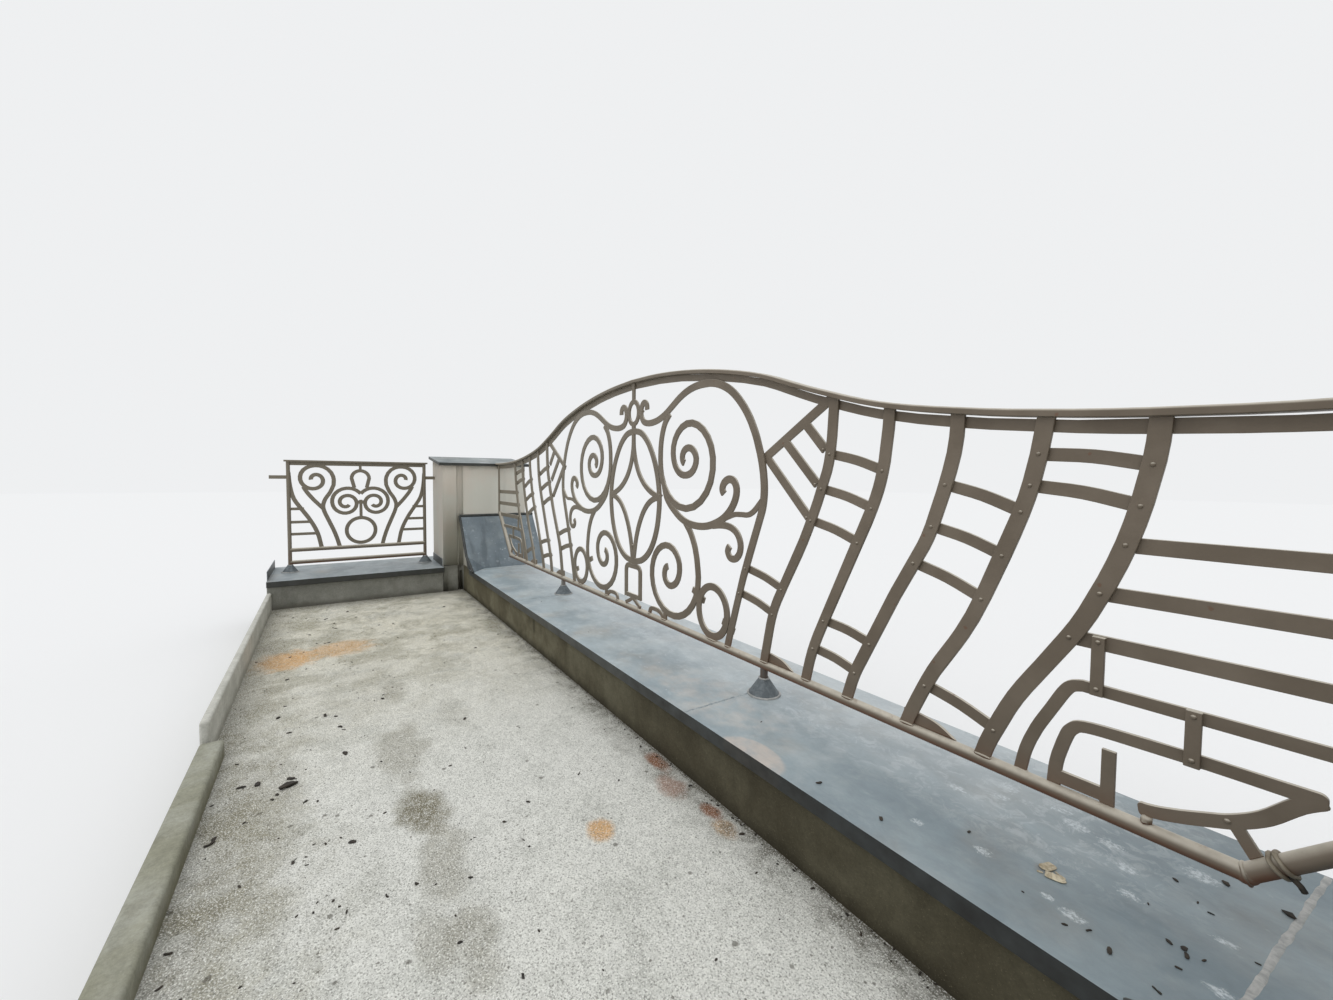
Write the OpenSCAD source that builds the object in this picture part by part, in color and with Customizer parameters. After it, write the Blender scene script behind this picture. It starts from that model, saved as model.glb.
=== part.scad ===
// Roof-level balcony with a waved wrought-iron railing on a low parapet, corner piers and zinc coverings.
// It is cut off at the house wall. X runs along the balcony, -Y is the street side, +Y the wall, Z is up.
// The origin is the middle of the underside. Heights named h are above the floor.

/* [Masonry] */
// Length of the floor between the two side parapets
floor_length = 4400; // [4380:10:4420]
// Thickness of the floor slab
slab_t = 180; // [150:10:260]
// Width of the floor from the front parapet to the wall line
floor_width = 1213; // [1190:1:1240]
// Thickness of the front parapet
front_parapet_t = 524; // [500:2:560]
// Thickness of a side parapet
side_parapet_t = 600; // [590:2:640]
// Height of the masonry of the front parapet above the floor
front_parapet_h = 199; // [180:1:206]
// Height of the masonry of a side parapet above the floor
side_parapet_h = 186; // [170:1:190]
// Height of a corner pier above the floor
pier_h = 985; // [960:5:1000]
// Thickness of a corner pier above the parapets
pier_t = 435; // [420:5:600]
// Length of a pier's inner part that stands out past the front parapet
pier_return = 145; // [120:5:170]
// Rise of the pier's top towards the outside, in degrees
cap_rise = 7; // [2:0.5:9]
// Height of the cement skirting along the wall
skirting_h = 115; // [90:5:140]
// Height of the step in front of the door
step_h = 52; // [40:2:80]

/* [Zinc] */
// Thickness of the folded zinc coverings
zinc_t = 4; // [3:0.5:5]
// Overhang of the coverings past the masonry
drip = 23; // [18:1:28]
// Height of the folded edge
fold_h = 36; // [28:2:44]
// Length along the parapet of the sloped covering against a pier
slope_run = 285; // [270:5:300]
// Height of the top of the sloped covering above the floor
slope_top_h = 580; // [560:5:600]

/* [Railing] */
// Width of the upright flat bars
upright_w = 30; // [26:1:32]
// Width of the scroll bars
scroll_w = 27; // [24:1:28]
// Width of the short cross bars
rung_w = 25; // [22:1:26]
// Thickness of the flat bars
bar_t = 8; // [6:0.5:10]
// Diameter of the bottom tube
tube_d = 27; // [24:1:38]
// Height of the bottom tube's axis above the floor
tube_h = 294; // [288:1:300]
// Width of the handrail
handrail_w = 38; // [34:1:44]
// Thickness of the handrail
handrail_t = 15; // [12:1:16]

/* [Side railing] */
// Distance from the middle of a side railing to each of its posts
side_half = 440; // [430:5:450]
// Width of a side railing's scroll bars
side_scroll_w = 27; // [18:1:30]
// Diameter of a side railing's two lower tubes
side_tube_d = 28; // [24:1:30]

/* [Hidden] */
$fn = 48;

iron = [0.43, 0.39, 0.35];
zinc = [0.47, 0.51, 0.55];
render = [0.80, 0.76, 0.68];
cement = [0.52, 0.50, 0.45];
screed = [0.68, 0.66, 0.61];

// Places of the masonry, seen from the origin
half_floor = floor_length / 2;
half_masonry = half_floor + side_parapet_t;
depth = floor_width + front_parapet_t + drip;
wall_y = depth / 2;
parapet_out_y = -wall_y + drip;
parapet_in_y = parapet_out_y + front_parapet_t;
rail_y = -wall_y + drip + front_parapet_t / 2;
pier_in_y = parapet_in_y + pier_return;
pier_out_y = parapet_out_y + 35;
floor_z = slab_t;
skirting_t = 25;
step_t = 60;
step_from = -930;
step_to = 110;
joint_r = 30;
recess = 22;
slope_from = half_floor - slope_run;

// Places on the railing: s is the distance from its middle, h the height above the floor
rail_end = half_floor;
post_s = rail_end - 70;
tube_bend_s = 1828;
tube_rise = 45.6;
weld = 3;
tube_end_h = 602;
leg_s = 819;
rung_bow = 5;
gap_from = 800;
rail_gap = 4;
top_bar_w = 24;
collar_h = 50;
collar_r = 50;
leg_d = 24;

// Smooth curves

// Point at share t of the stretch from b to c of a smooth curve through a, b, c and d
function blend(a, b, c, d, t) =
    (2 * b + (c - a) * t + (2 * a - 5 * b + 4 * c - d) * t * t + (3 * b - a - 3 * c + d) * t * t * t) / 2;

// Smooth curve through the points p, with n steps between each two
function curve(p, n = 5) = let (last = len(p) - 1) concat(
    [for (i = [0:last - 1]) for (k = [0:n - 1])
        blend(p[max(i - 1, 0)], p[i], p[i + 1], p[min(i + 2, last)], k / n)],
    [p[last]]);

// Spiral about a centre, through pairs of angle and radius
function scroll(centre, turns, n = 8) =
    [for (q = curve(turns, n)) centre + q[1] * [cos(q[0]), sin(q[0])]];

// Points of an ellipse
function oval(centre, rx, ry, n = 40) =
    [for (k = [0:n - 1]) centre + [rx * cos(360 * k / n), ry * sin(360 * k / n)]];

function mirrored(p) = [for (i = [len(p) - 1:-1:0]) [-p[i][0], p[i][1]]];
function reversed(p) = [for (i = [len(p) - 1:-1:0]) p[i]];
function without_ends(p) = [for (i = [1:len(p) - 2]) p[i]];

// Unit vector square to the direction from a to b
function square_to(a, b) = let (v = (b - a) / norm(b - a)) [-v[1], v[0]];

// The line through the points c moved sideways by d
function beside(c, d) = let (last = len(c) - 1)
    [for (i = [0:last]) c[i] + d * square_to(c[max(i - 1, 0)], c[min(i + 1, last)])];

// The same for a closed line
function beside_closed(c, d) = let (m = len(c))
    [for (i = [0:m - 1]) c[i] + d * square_to(c[(i + m - 1) % m], c[(i + 1) % m])];

// Height of a line of points at the place s
function height_at(line, s, i = 0) =
    i >= len(line) - 2 || s <= line[i + 1][0]
        ? line[i][1] + (line[i + 1][1] - line[i][1]) * (s - line[i][0]) / (line[i + 1][0] - line[i][0])
        : height_at(line, s, i + 1);

// Flat bar of width w along an open line
module flat_bar(line, w, t = bar_t)
    linear_extrude(t) polygon(concat(beside(line, w / 2), reversed(beside(line, -w / 2))));

// Flat bar of width w along a closed line
module flat_ring(line, w, t = bar_t) {
    m = len(line);
    linear_extrude(t)
        polygon(concat(beside_closed(line, -w / 2), beside_closed(line, w / 2)),
                paths = [[for (i = [0:m - 1]) i], [for (i = [m:2 * m - 1]) i]]);
}

// Straight flat bar between two points
module tie(a, b, w, t = bar_t) flat_bar([a, b], w, t);

// Stands a drawing up in the railing's plane. Layer 1 is the inner side, layer 0 the street side
module on_railing(layer = 1)
    translate([0, rail_y + layer * bar_t, floor_z]) rotate([90, 0, 0]) children();

// Stands a drawing up across the balcony, in the plane of the far side railing
module on_side()
    translate([side_rail_x - bar_t / 2, side_mid_y, floor_z]) rotate([90, 0, 90]) children();

module near() mirror([1, 0, 0]) children();

// The wave of the handrail, its top edge
wave_half = curve([
    [0, 1307], [200, 1300], [400, 1281], [600, 1249], [800, 1202], [1000, 1131],
    [1200, 1069], [1400, 1031], [1600, 1006], [1800, 992], [2000, 988], [rail_end, 989]
], 4);
wave = concat(mirrored(wave_half), [for (i = [1:len(wave_half) - 1]) wave_half[i]]);
rail_under = [for (p = wave) p - [0, handrail_t]];
// The flat bar below touches the handrail at the crown and hangs a little lower outwards
function gap_at(s) = rail_gap * min(max((abs(s) - gap_from) / 200, 0), 1);
bar_top = [for (p = rail_under) p - [0, gap_at(p[0])]];
bar_under = [for (p = bar_top) p - [0, top_bar_w]];

// The five uprights lean outwards in a slight double bend. They run on into the handrail and are cut there
upright_lines = [for (p = [
    [[821, tube_h], [837, 380], [860, 474], [897, 555], [972, 700], [1033, 850],
        [1060, 950], [1071, 1120]],
    [[987, tube_h], [1011, 392], [1054, 500], [1122, 650], [1189, 805], [1216, 896],
        [1229, 1000], [1232, 1080]],
    [[1126, tube_h], [1151, 377], [1191, 461], [1256, 600], [1304, 690], [1341, 772],
        [1385, 935], [1392, 1050]],
    [[1290, tube_h], [1310, 349], [1355, 449], [1413, 549], [1454, 640], [1516, 812],
        [1543, 926], [1557, 1030]],
    [[1458, tube_h], [1475, 349], [1518, 449], [1577, 549], [1627, 640], [1676, 771],
        [1706, 910], [1714, 1020]],
]) curve(p, 4)];

// Place at the height h on a line that rises
function on_rising(line, h, i = 0) =
    line[i + 1][1] > h
        ? line[i] + (line[i + 1] - line[i]) * (h - line[i][1]) / (line[i + 1][1] - line[i][1])
        : on_rising(line, h, i + 1);

// The bar that runs from the curl beside the medallion over the crown and down as the innermost upright
crest_line = curve([
    [113, 1165], [110, 1186], [92, 1197], [73, 1188], [64, 1163], [69, 1138], [86, 1118], [112, 1109],
    [150, 1107], [200, 1114], [250, 1131], [300, 1157], [350, 1184], [400, 1203], [450, 1213],
    [500, 1215], [550, 1211], [600, 1197], [650, 1171], [695, 1132], [735, 1083], [766, 1028],
    [788, 972], [803, 920], [811, 870], [812, 826], [806, 785], [790, 738], [767, 678],
    [742, 611], [717, 540], [695, 468], [673, 394], [654, 330], [646, tube_h]
], 4);
// The crest line's last stretch, the innermost upright, from its foot up
innermost_line = reversed([for (i = [len(crest_line) - 50:len(crest_line) - 1]) crest_line[i]]);
upper_spiral_line = concat(
    curve([[285, 1131], [252, 1098], [231, 1052], [221, 1003], [219, 952]], 4),
    scroll([400, 950], [[190, 181], [230, 186], [270, 187], [315, 174], [360, 157], [405, 143], [450, 132],
        [495, 110], [540, 86], [585, 70], [630, 61], [675, 60], [720, 60], [765, 50], [810, 40], [855, 33],
        [900, 27], [945, 21]], 3));
curl_line = curve([
    [247, 846], [262, 806], [286, 778], [318, 753], [355, 730], [397, 713], [440, 705], [486, 703],
    [532, 708], [576, 721], [618, 741], [654, 771], [678, 808], [684, 842], [671, 868], [645, 875],
    [620, 862], [611, 841], [620, 825]
], 4);
down_curl_line = curve([
    [560, 711], [610, 717], [654, 714], [688, 697], [706, 665], [703, 632], [682, 610], [656, 611],
    [643, 631], [653, 650]
], 4);
link_line = curve([[628, 742], [672, 757], [708, 760], [742, 761], [770, 776], [806, 812]], 4);
lower_spiral_line = concat(
    curve([[390, 716], [428, 676], [455, 628], [470, 580]], 4),
    scroll([290, 505], [[12, 190], [-22, 188], [-56, 180], [-90, 168], [-135, 148], [-180, 130],
        [-225, 116], [-270, 103], [-315, 85], [-360, 67], [-405, 58], [-450, 54], [-495, 45], [-540, 34],
        [-600, 24]], 3));
spiral_foot_line = curve([[141, tube_h], [150, 326], [188, 333], [232, 325], [262, tube_h]], 4);
ring_centre = [564, 407];

// Masonry

module floor_slab()
    color(screed)
        translate([-half_masonry, parapet_out_y, 0])
            cube([2 * half_masonry, wall_y - parapet_out_y, slab_t]);

module wall_skirting()
    color(cement)
        for (span = [[-half_floor, step_from], [step_to, half_floor]])
            translate([span[0], wall_y - skirting_t, floor_z])
                cube([span[1] - span[0], skirting_t, skirting_h]);

module door_step()
    color(cement)
        translate([step_from, wall_y - step_t, floor_z])
            cube([step_to - step_from, step_t, step_h]);

// The front parapet ends in two sloped shoulders that lean on the piers
module front_parapet()
    color(cement)
        translate([0, parapet_in_y, floor_z]) rotate([90, 0, 0]) linear_extrude(front_parapet_t)
            polygon([
                [-half_floor, 0], [half_floor, 0], [half_floor, slope_top_h - zinc_t],
                [slope_from, front_parapet_h], [-slope_from, front_parapet_h],
                [-half_floor, slope_top_h - zinc_t]
            ]);

module side_parapet()
    color(cement)
        translate([half_floor, pier_in_y, floor_z])
            cube([side_parapet_t, wall_y - pier_in_y, side_parapet_h]);

module far_side_parapet() side_parapet();
module near_side_parapet() near() side_parapet();

// Outline of masonry at a corner from above, from the place y out to the thickness t,
// with a rounded inner corner and a shallow recess behind a cove
module corner_outline(y, t) {
    cove_y = parapet_in_y + recess;
    difference() {
        union() {
            translate([half_floor, y]) square([t, pier_in_y - joint_r - y]);
            translate([half_floor + joint_r, y]) square([t - joint_r, pier_in_y - y]);
            translate([half_floor + joint_r, pier_in_y - joint_r]) circle(joint_r);
        }
        translate([half_floor - 1, cove_y]) circle(recess);
    }
}

// Height of the pier's rising top at the place x
function pier_top(x) = pier_h + (x - half_floor) * tan(cap_rise);

// Slanted block between two heights over the pier's top, from x0 to x1 and y0 to y1
module slanted(x0, x1, y0, y1, low, high)
    translate([0, y1, floor_z]) rotate([90, 0, 0]) linear_extrude(y1 - y0)
        polygon([
            [x0, pier_top(x0) + low], [x1, pier_top(x1) + low],
            [x1, pier_top(x1) + high], [x0, pier_top(x0) + high]
        ]);

// The pier stands on a plinth as broad as the parapets
module pier()
    color(render) {
        translate([0, 0, floor_z]) linear_extrude(side_parapet_h)
            corner_outline(parapet_out_y, side_parapet_t);
        intersection() {
            translate([0, 0, floor_z + side_parapet_h]) linear_extrude(pier_h)
                corner_outline(pier_out_y, pier_t);
            slanted(half_floor - 1, half_masonry, parapet_out_y, wall_y, -pier_h, 0);
        }
    }

module far_pier() pier();
module near_pier() near() pier();

// Zinc cap with a folded edge, rising towards the outside
module pier_cap() {
    over = 26;
    low = -18;
    x0 = half_floor - over;
    x1 = half_floor + pier_t + over;
    color(zinc)
        difference() {
            slanted(x0, x1, pier_out_y - over, pier_in_y + over, low, zinc_t);
            slanted(half_floor - zinc_t, half_floor + pier_t + zinc_t,
                pier_out_y - zinc_t, pier_in_y + zinc_t, 2 * low, 0);
            handrail();
            top_bar();
        }
}

module far_pier_cap() pier_cap();
module near_pier_cap() near() pier_cap();

// Zinc coverings

// Section of a covering over masonry of the given width, its top at height 0, folded down on both sides
module capping_section(w) {
    half = w / 2 + drip;
    inner = half - zinc_t;
    hem = inner - 5;
    fold = [
        [half, 0], [half, -fold_h], [hem, -fold_h - zinc_t], [hem, -fold_h], [inner, -fold_h + zinc_t],
        [inner, -zinc_t]
    ];
    polygon(concat(fold, mirrored(fold)));
}

module front_capping()
    color(zinc)
        translate([-slope_from, (parapet_in_y + parapet_out_y) / 2, floor_z + front_parapet_h + zinc_t])
            rotate([90, 0, 90]) linear_extrude(2 * slope_from) capping_section(front_parapet_t);

// The covering of a side parapet, with edges turned up against the pier and the wall.
// Behind the pier it runs on over the plinth
module side_capping() {
    top = floor_z + side_parapet_h + zinc_t;
    upstand = 60;
    mid = half_floor + side_parapet_t / 2;
    below = top - 2 * fold_h;
    color(zinc) {
        difference() {
            translate([mid, wall_y, top]) rotate([90, 0, 0])
                linear_extrude(wall_y - parapet_out_y) capping_section(side_parapet_t);
            translate([half_floor, pier_out_y, below]) cube([pier_t, pier_in_y - pier_out_y, 3 * fold_h]);
            translate([half_floor - 2 * drip, parapet_out_y - 1, below])
                cube([2 * drip, pier_in_y - parapet_out_y + 1, 3 * fold_h]);
        }
        translate([half_floor + joint_r, pier_in_y, top]) cube([pier_t - joint_r, zinc_t, upstand]);
        translate([half_floor + joint_r, wall_y - zinc_t, top])
            cube([side_parapet_t - joint_r, zinc_t, upstand]);
    }
}

module far_side_capping() side_capping();
module near_side_capping() near() side_capping();

// The sloped covering lies on the parapet's shoulder and is folded down at both sides
module slope_flashing() {
    run = slope_run;
    rise = slope_top_h - zinc_t - front_parapet_h;
    slant = norm([run, rise]);
    color(zinc) foot_gusset(rise / run);
    color(zinc)
        translate([slope_from, (parapet_in_y + parapet_out_y) / 2, floor_z + front_parapet_h])
            rotate([0, -atan2(rise, run), 0]) translate([0, 0, zinc_t])
                difference() {
                    rotate([90, 0, 90]) linear_extrude(slant) capping_section(front_parapet_t);
                    translate([0, 0, -zinc_t]) rotate([0, atan2(rise, run), 0]) {
                        translate([run, -front_parapet_t, -rise])
                            cube([slant, 2 * front_parapet_t, 2 * slant]);
                        translate([-slant, -front_parapet_t, -slant])
                            cube([2 * slant, 2 * front_parapet_t, slant + zinc_t]);
                    }
                }
}

// Three-cornered fold where the slope runs out over the level covering at its inner edge
module foot_gusset(steep) {
    reach = 150;
    up = 88;
    sink = 2;
    lift = 0.5;
    tip = [-reach, 0];
    foot = [45, -reach];
    head = [up / steep, 0];
    across = [-foot[1], foot[0] - tip[0]] / norm(foot - tip);
    pitch = atan2(up, (head - tip) * across);
    translate([slope_from, parapet_in_y + drip - sink, floor_z + front_parapet_h + zinc_t + lift])
        intersection() {
            rotate([90, 0, 0]) linear_extrude(reach) polygon([tip, [sink, 0], [head[0] + sink, up]]);
            translate(tip) rotate([0, 0, atan2(across[1], across[0])]) rotate([0, -pitch, 0])
                translate([-reach, -2 * reach, -4 * reach]) cube(4 * reach);
        }
}

module far_slope_flashing() slope_flashing();
module near_slope_flashing() near() slope_flashing();

// Railing frame

module handrail()
    color(iron) translate([0, handrail_w / 2, 0]) on_railing(0)
        linear_extrude(handrail_w) polygon(concat(wave, reversed(rail_under)));

module top_bar()
    color(iron) on_railing(0) linear_extrude(bar_t) polygon(concat(bar_top, reversed(bar_under)));

// The bottom tube: level, with a welded knuckle near each end where it turns up to the end post
module tube_space() {
    rise_len = (tube_end_h - tube_h) / sin(tube_rise);
    translate([0, rail_y, floor_z + tube_h]) {
        rotate([0, 90, 0]) cylinder(h = 2 * tube_bend_s, d = tube_d, center = true);
        for (side = [0, 1]) mirror([side, 0, 0]) translate([tube_bend_s, 0, 0]) {
            sphere(d = tube_d + weld);
            rotate([0, 90 - tube_rise, 0]) cylinder(h = rise_len, d = tube_d);
        }
    }
}

module bottom_tube() color(iron) tube_space();

// Cuts a drawing off at the tube below and at the handrail above
module between_rails() {
    difference() {
        children();
        tube_space();
        on_railing(2) translate([0, 0, -bar_t]) linear_extrude(4 * bar_t)
            polygon(concat(rail_under, [[rail_end, 1400], [-rail_end, 1400]]));
    }
}

module support_legs()
    color(iron)
        for (side = [-1, 1])
            difference() {
                translate([side * leg_s, rail_y, floor_z + front_parapet_h + zinc_t])
                    cylinder(h = tube_h - front_parapet_h - zinc_t, d = leg_d);
                tube_space();
            }

// Cone of lead around a leg or post at p, standing on a covering
module cone_collar(p)
    translate(p)
        difference() {
            cylinder(h = collar_h, r1 = collar_r, r2 = leg_d / 2 + 4);
            translate([0, 0, -1]) cylinder(h = collar_h + 2, d = leg_d);
        }

module leg_collars()
    color(zinc)
        for (side = [-1, 1])
            cone_collar([side * leg_s, rail_y, floor_z + front_parapet_h + zinc_t]);

module uprights()
    color(iron)
        between_rails() {
            on_railing() for (line = upright_lines) flat_bar(line, upright_w);
        }

module far_uprights() uprights();
module near_uprights() near() uprights();

// Slightly bowed cross bar from the height h on one upright down by fall to the next
module rung(line, next, h, fall) {
    a = on_rising(line, h);
    b = on_rising(next, h - fall);
    m = (a + b) / 2 + [0, rung_bow];
    flat_bar(curve([a, m, b], 4), rung_w);
}

// Foot plate that runs from the foot of an upright down to the tube
module foot_wedge(line) {
    s = line[0][0];
    linear_extrude(bar_t)
        polygon(concat([[s + 118, tube_h], [s - 6, tube_h]],
            curve([[s - 6, 338], [s + 36, 336], [s + 76, 328], [s + 118, 306]], 4)));
}

module rungs() {
    u = upright_lines;
    color(iron)
        between_rails() {
            on_railing(0) {
                for (r = [[586, 41], [499, 37]]) rung(innermost_line, u[0], r[0], r[1]);
                for (h = [944, 850, 760]) rung(u[0], u[1], h, 46);
                for (h = [488, 402]) rung(u[1], u[2], h, 25);
                for (r = [[866, 51], [772, 47], [684, 54]]) rung(u[2], u[3], r[0], r[1]);
                for (r = [[927, 23], [867, 32], [408, 42]]) rung(u[3], u[4], r[0], r[1]);
                foot_wedge(u[0]);
                foot_wedge(u[3]);
            }
        }
}

module far_rungs() rungs();
module near_rungs() near() rungs();

// Diagonal from the innermost upright to the head of the next, with three bars that run down from it
module brace()
    color(iron)
        between_rails() {
            on_railing(0) {
                tie([792, 933], [1062, 1100], scroll_w);
                tie([812, 946], [984, 768], scroll_w);
                tie([886, 992], [1012, 862], scroll_w);
                tie([962, 1038], [1037, 957], scroll_w);
            }
        }

module far_brace() brace();
module near_brace() near() brace();

// The end of the railing: level bars, a post and bars that follow the rising tube
module end_grille() {
    last = upright_lines[len(upright_lines) - 1];
    level_h = [768, 679, 591];
    level_fall = 3;
    follow_h = 506;
    follow_w = 21;
    follow_line = concat(
        curve([[1526, tube_h], [1536, 349], [1553, 399], [1577, 449], [1594, 484], [1606, 500],
            [1622, follow_h]], 4),
        [[2048, follow_h]]);
    basket_line = curve([[1583, tube_h], [1587, 349], [1599, 399], [1609, 421], [1628, 432], [1690, 436],
        [1780, 438], [1898, 438]], 4);
    prow_line = curve([[1894, 438], [1872, 420], [1843, 386], [1814, 364], [1789, 352], [1760, 340],
        [1730, 330], [1704, 325]], 4);
    hook_s = 1663;
    hook_h = 323;
    color(iron) {
        between_rails() {
            on_railing(0) {
                for (h = level_h) tie(on_rising(last, h), [post_s, h - level_fall], rung_w + 2);
                for (line = [follow_line, basket_line, prow_line]) flat_bar(line, follow_w);
                tie([1812, 362], [1846, 306], 17);
                tie([1587, hook_h], [hook_s, hook_h], rung_w);
                tie([hook_s, tube_h], [hook_s, 405], 20);
            }
            on_railing() {
                tie([1644, 602], [1644, 497], 19);
                tie([1766, 517], [1766, 427], 19);
                tie([post_s, tube_end_h - 14], [post_s, 1050], upright_w);
            }
        }
    }
}

module far_end_grille() end_grille();
module near_end_grille() near() end_grille();

// Scrollwork of the front railing

module medallion()
    color(iron)
        between_rails() on_railing() difference() {
            union() {
                flat_ring(oval([0, 1163], 42, 49), 21);
                tie([0, 1205], [0, 1300], 22);
                tie([0, 1121], [0, 1084], scroll_w);
                for (side = [-1, 1]) tie([side * 48, 1163], [side * 68, 1163], 30);
            }
            crest_bars();
            centre_bars();
        }

// An egg-shaped loop with a four-pointed star of hollow curves in it
loop_half = curve([
    [0, 1083], [60, 1073], [112, 1037], [152, 986], [183, 926], [203, 862], [212, 798], [209, 738],
    [194, 668], [165, 604], [122, 552], [66, 519], [0, 508]
], 4);
star_top = curve([
    [0, 1072], [3, 1010], [20, 948], [49, 896], [86, 857], [128, 829], [170, 811], [208, 800]
], 4);
star_foot = curve([
    [208, 798], [162, 788], [118, 764], [80, 724], [50, 674], [28, 620], [14, 565], [4, 512]
], 4);

module centre_bars() {
    flat_ring(concat(loop_half, without_ends(mirrored(loop_half))), scroll_w);
    for (side = [0, 1]) mirror([side, 0, 0]) {
        flat_bar(star_top, 24);
        flat_bar(star_foot, 24);
    }
}

module centre_loops() color(iron) on_railing() centre_bars();

module centre_foot() {
    corner = 24;
    x = 62;
    sill_h = 352;
    corner_h = 486 - corner;
    round_half = [for (a = [90:-15:0]) [x - corner, corner_h] + corner * [cos(a), sin(a)]];
    arch = concat([[-x, sill_h]], mirrored(round_half), round_half, [[x, sill_h]]);
    color(iron)
        between_rails() on_railing() difference() {
            union() {
                flat_bar(arch, 23);
                tie([-x - 11, sill_h], [x + 11, sill_h], 20);
                flat_bar(curve([[-66, 312], [-34, 325], [0, 340], [34, 325], [66, 312]], 4), 15);
            }
            centre_bars();
        }
}

module crest_bars() for (side = [0, 1]) mirror([side, 0, 0]) flat_bar(crest_line, scroll_w);

module crest_scroll() color(iron) between_rails() on_railing() flat_bar(crest_line, scroll_w);

module far_crest_scroll() crest_scroll();
module near_crest_scroll() near() crest_scroll();

module upper_spiral()
    color(iron) on_railing() difference() {
        flat_bar(upper_spiral_line, scroll_w);
        crest_bars();
        centre_bars();
    }

module far_upper_spiral() upper_spiral();
module near_upper_spiral() near() upper_spiral();

module curl_scroll()
    color(iron) on_railing() difference() {
        union() {
            flat_bar(curl_line, scroll_w);
            flat_bar(down_curl_line, scroll_w - 3);
            flat_bar(link_line, 18);
        }
        flat_bar(upper_spiral_line, scroll_w);
        flat_bar(crest_line, scroll_w);
        centre_bars();
    }

module far_curl_scroll() curl_scroll();
module near_curl_scroll() near() curl_scroll();

// Large lower spiral with its foot, and the small oval beside it that stands on the tube
module lower_spiral()
    color(iron) between_rails() {
        on_railing() difference() {
            union() {
                flat_bar(lower_spiral_line, scroll_w);
                flat_bar(spiral_foot_line, 18);
                tie([262, 346], [262, tube_h], 20);
                flat_ring(oval(ring_centre, 79, 88), scroll_w);
            }
            flat_bar(curl_line, scroll_w);
            flat_bar(crest_line, scroll_w);
            centre_bars();
        }
        on_railing(0) {
            tie([436, 462], [508, 432], rung_w);
            tie([612, 384], [672, 360], rung_w);
        }
    }

module far_lower_spiral() lower_spiral();
module near_lower_spiral() near() lower_spiral();

// Side railings

side_rail_x = half_floor + 340;
side_mid_y = (wall_y + pier_in_y) / 2 - 15;
side_top_h = 990;
side_rail_h = [346, 257];
side_base_h = side_parapet_h + zinc_t;
side_rail_t = 12;
side_reach = 24;
side_bar_top = side_top_h - side_rail_t;
post_d = leg_d;
bracket_h = 868;

loop_line = concat(
    curve([[138, 346], [151, 400], [171, 465], [196, 530], [224, 598], [238, 655], [224, 708], [193, 758],
        [171, 812]], 3),
    scroll([283, 850], [[180, 114], [135, 110], [90, 103], [45, 98], [0, 88], [-45, 76], [-90, 64],
        [-135, 55], [-180, 47], [-225, 42], [-270, 37], [-315, 30], [-360, 24]], 3));
horn_line = scroll([94, 682], [[146, 113], [118, 110], [90, 105], [45, 96], [0, 88], [-45, 85], [-90, 81],
    [-135, 74], [-180, 66], [-225, 58], [-270, 50], [-315, 45], [-360, 41], [-405, 37], [-450, 33],
    [-495, 27]], 3);
lean_line = curve([[side_half, 905], [431, 800], [411, 715], [371, 645], [326, 574], [288, 498], [266, 431],
    [250, 346]], 3);
arch_line = concat([[40, 790]], [for (a = [0:15:180]) [0, 862] + 57 * [cos(a), sin(a)]], [[-40, 790]]);

module side_half_bars() {
    flat_bar(loop_line, side_scroll_w);
    flat_bar(curve([[354, 800], [330, 755], [290, 700], [238, 640]], 3), side_scroll_w);
    flat_bar(horn_line, side_scroll_w - 1);
    flat_bar(lean_line, side_scroll_w);
    for (p = [[352, 641], [306, 546], [270, 460]]) tie(p, [side_half, p[1]], 20);
}

module side_scrolls() {
    post_half = post_d / 2;
    color(iron)
        difference() {
            on_side() intersection() {
                union() {
                    for (side = [0, 1]) mirror([side, 0, 0]) side_half_bars();
                    flat_bar(arch_line, side_scroll_w - 2);
                    tie([0, 908], [0, 970], 18);
                    flat_ring(oval([0, 470], 94, 94), side_scroll_w - 1);
                    tie([0, 566], [0, 700], 20);
                    tie([-34, 682], [34, 682], 26);
                }
                translate([post_half - side_half, side_rail_h[0], -1])
                    cube([2 * (side_half - post_half), side_bar_top - rung_w - side_rail_h[0], 3 * bar_t]);
            }
            side_tubes();
        }
}

module far_side_scrolls() side_scrolls();
module near_side_scrolls() near() side_scrolls();

module side_tubes()
    for (h = side_rail_h)
        translate([side_rail_x, side_mid_y, floor_z + h]) rotate([90, 0, 0])
            cylinder(h = 2 * side_half, d = side_tube_d, center = true);

// Posts, the two lower tubes, the top bar under its handrail, and the brackets to wall and pier
module side_frame()
    color(iron) {
        side_tubes();
        for (side = [-1, 1])
            translate([side_rail_x, side_mid_y + side * side_half, floor_z + side_base_h])
                cylinder(h = side_top_h - side_rail_t - side_base_h, d = post_d);
        for (span = [[pier_in_y, side_mid_y - side_half], [side_mid_y + side_half, wall_y]])
            translate([side_rail_x - bar_t / 2, span[0], floor_z + bracket_h - rung_w / 2])
                cube([bar_t, span[1] - span[0], rung_w]);
        translate([side_rail_x, side_mid_y, floor_z + side_bar_top + side_rail_t / 2])
            cube([handrail_w, 2 * side_half + 2 * side_reach, side_rail_t], center = true);
        translate([side_rail_x - bar_t / 2, side_mid_y - side_half, floor_z + side_bar_top - rung_w])
            cube([bar_t, 2 * side_half, rung_w]);
    }

module far_side_frame() side_frame();
module near_side_frame() near() side_frame();

module post_collars()
    color(zinc)
        for (side = [-1, 1])
            cone_collar([side_rail_x, side_mid_y + side * side_half, floor_z + side_base_h]);

module far_post_collars() post_collars();
module near_post_collars() near() post_collars();

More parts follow.
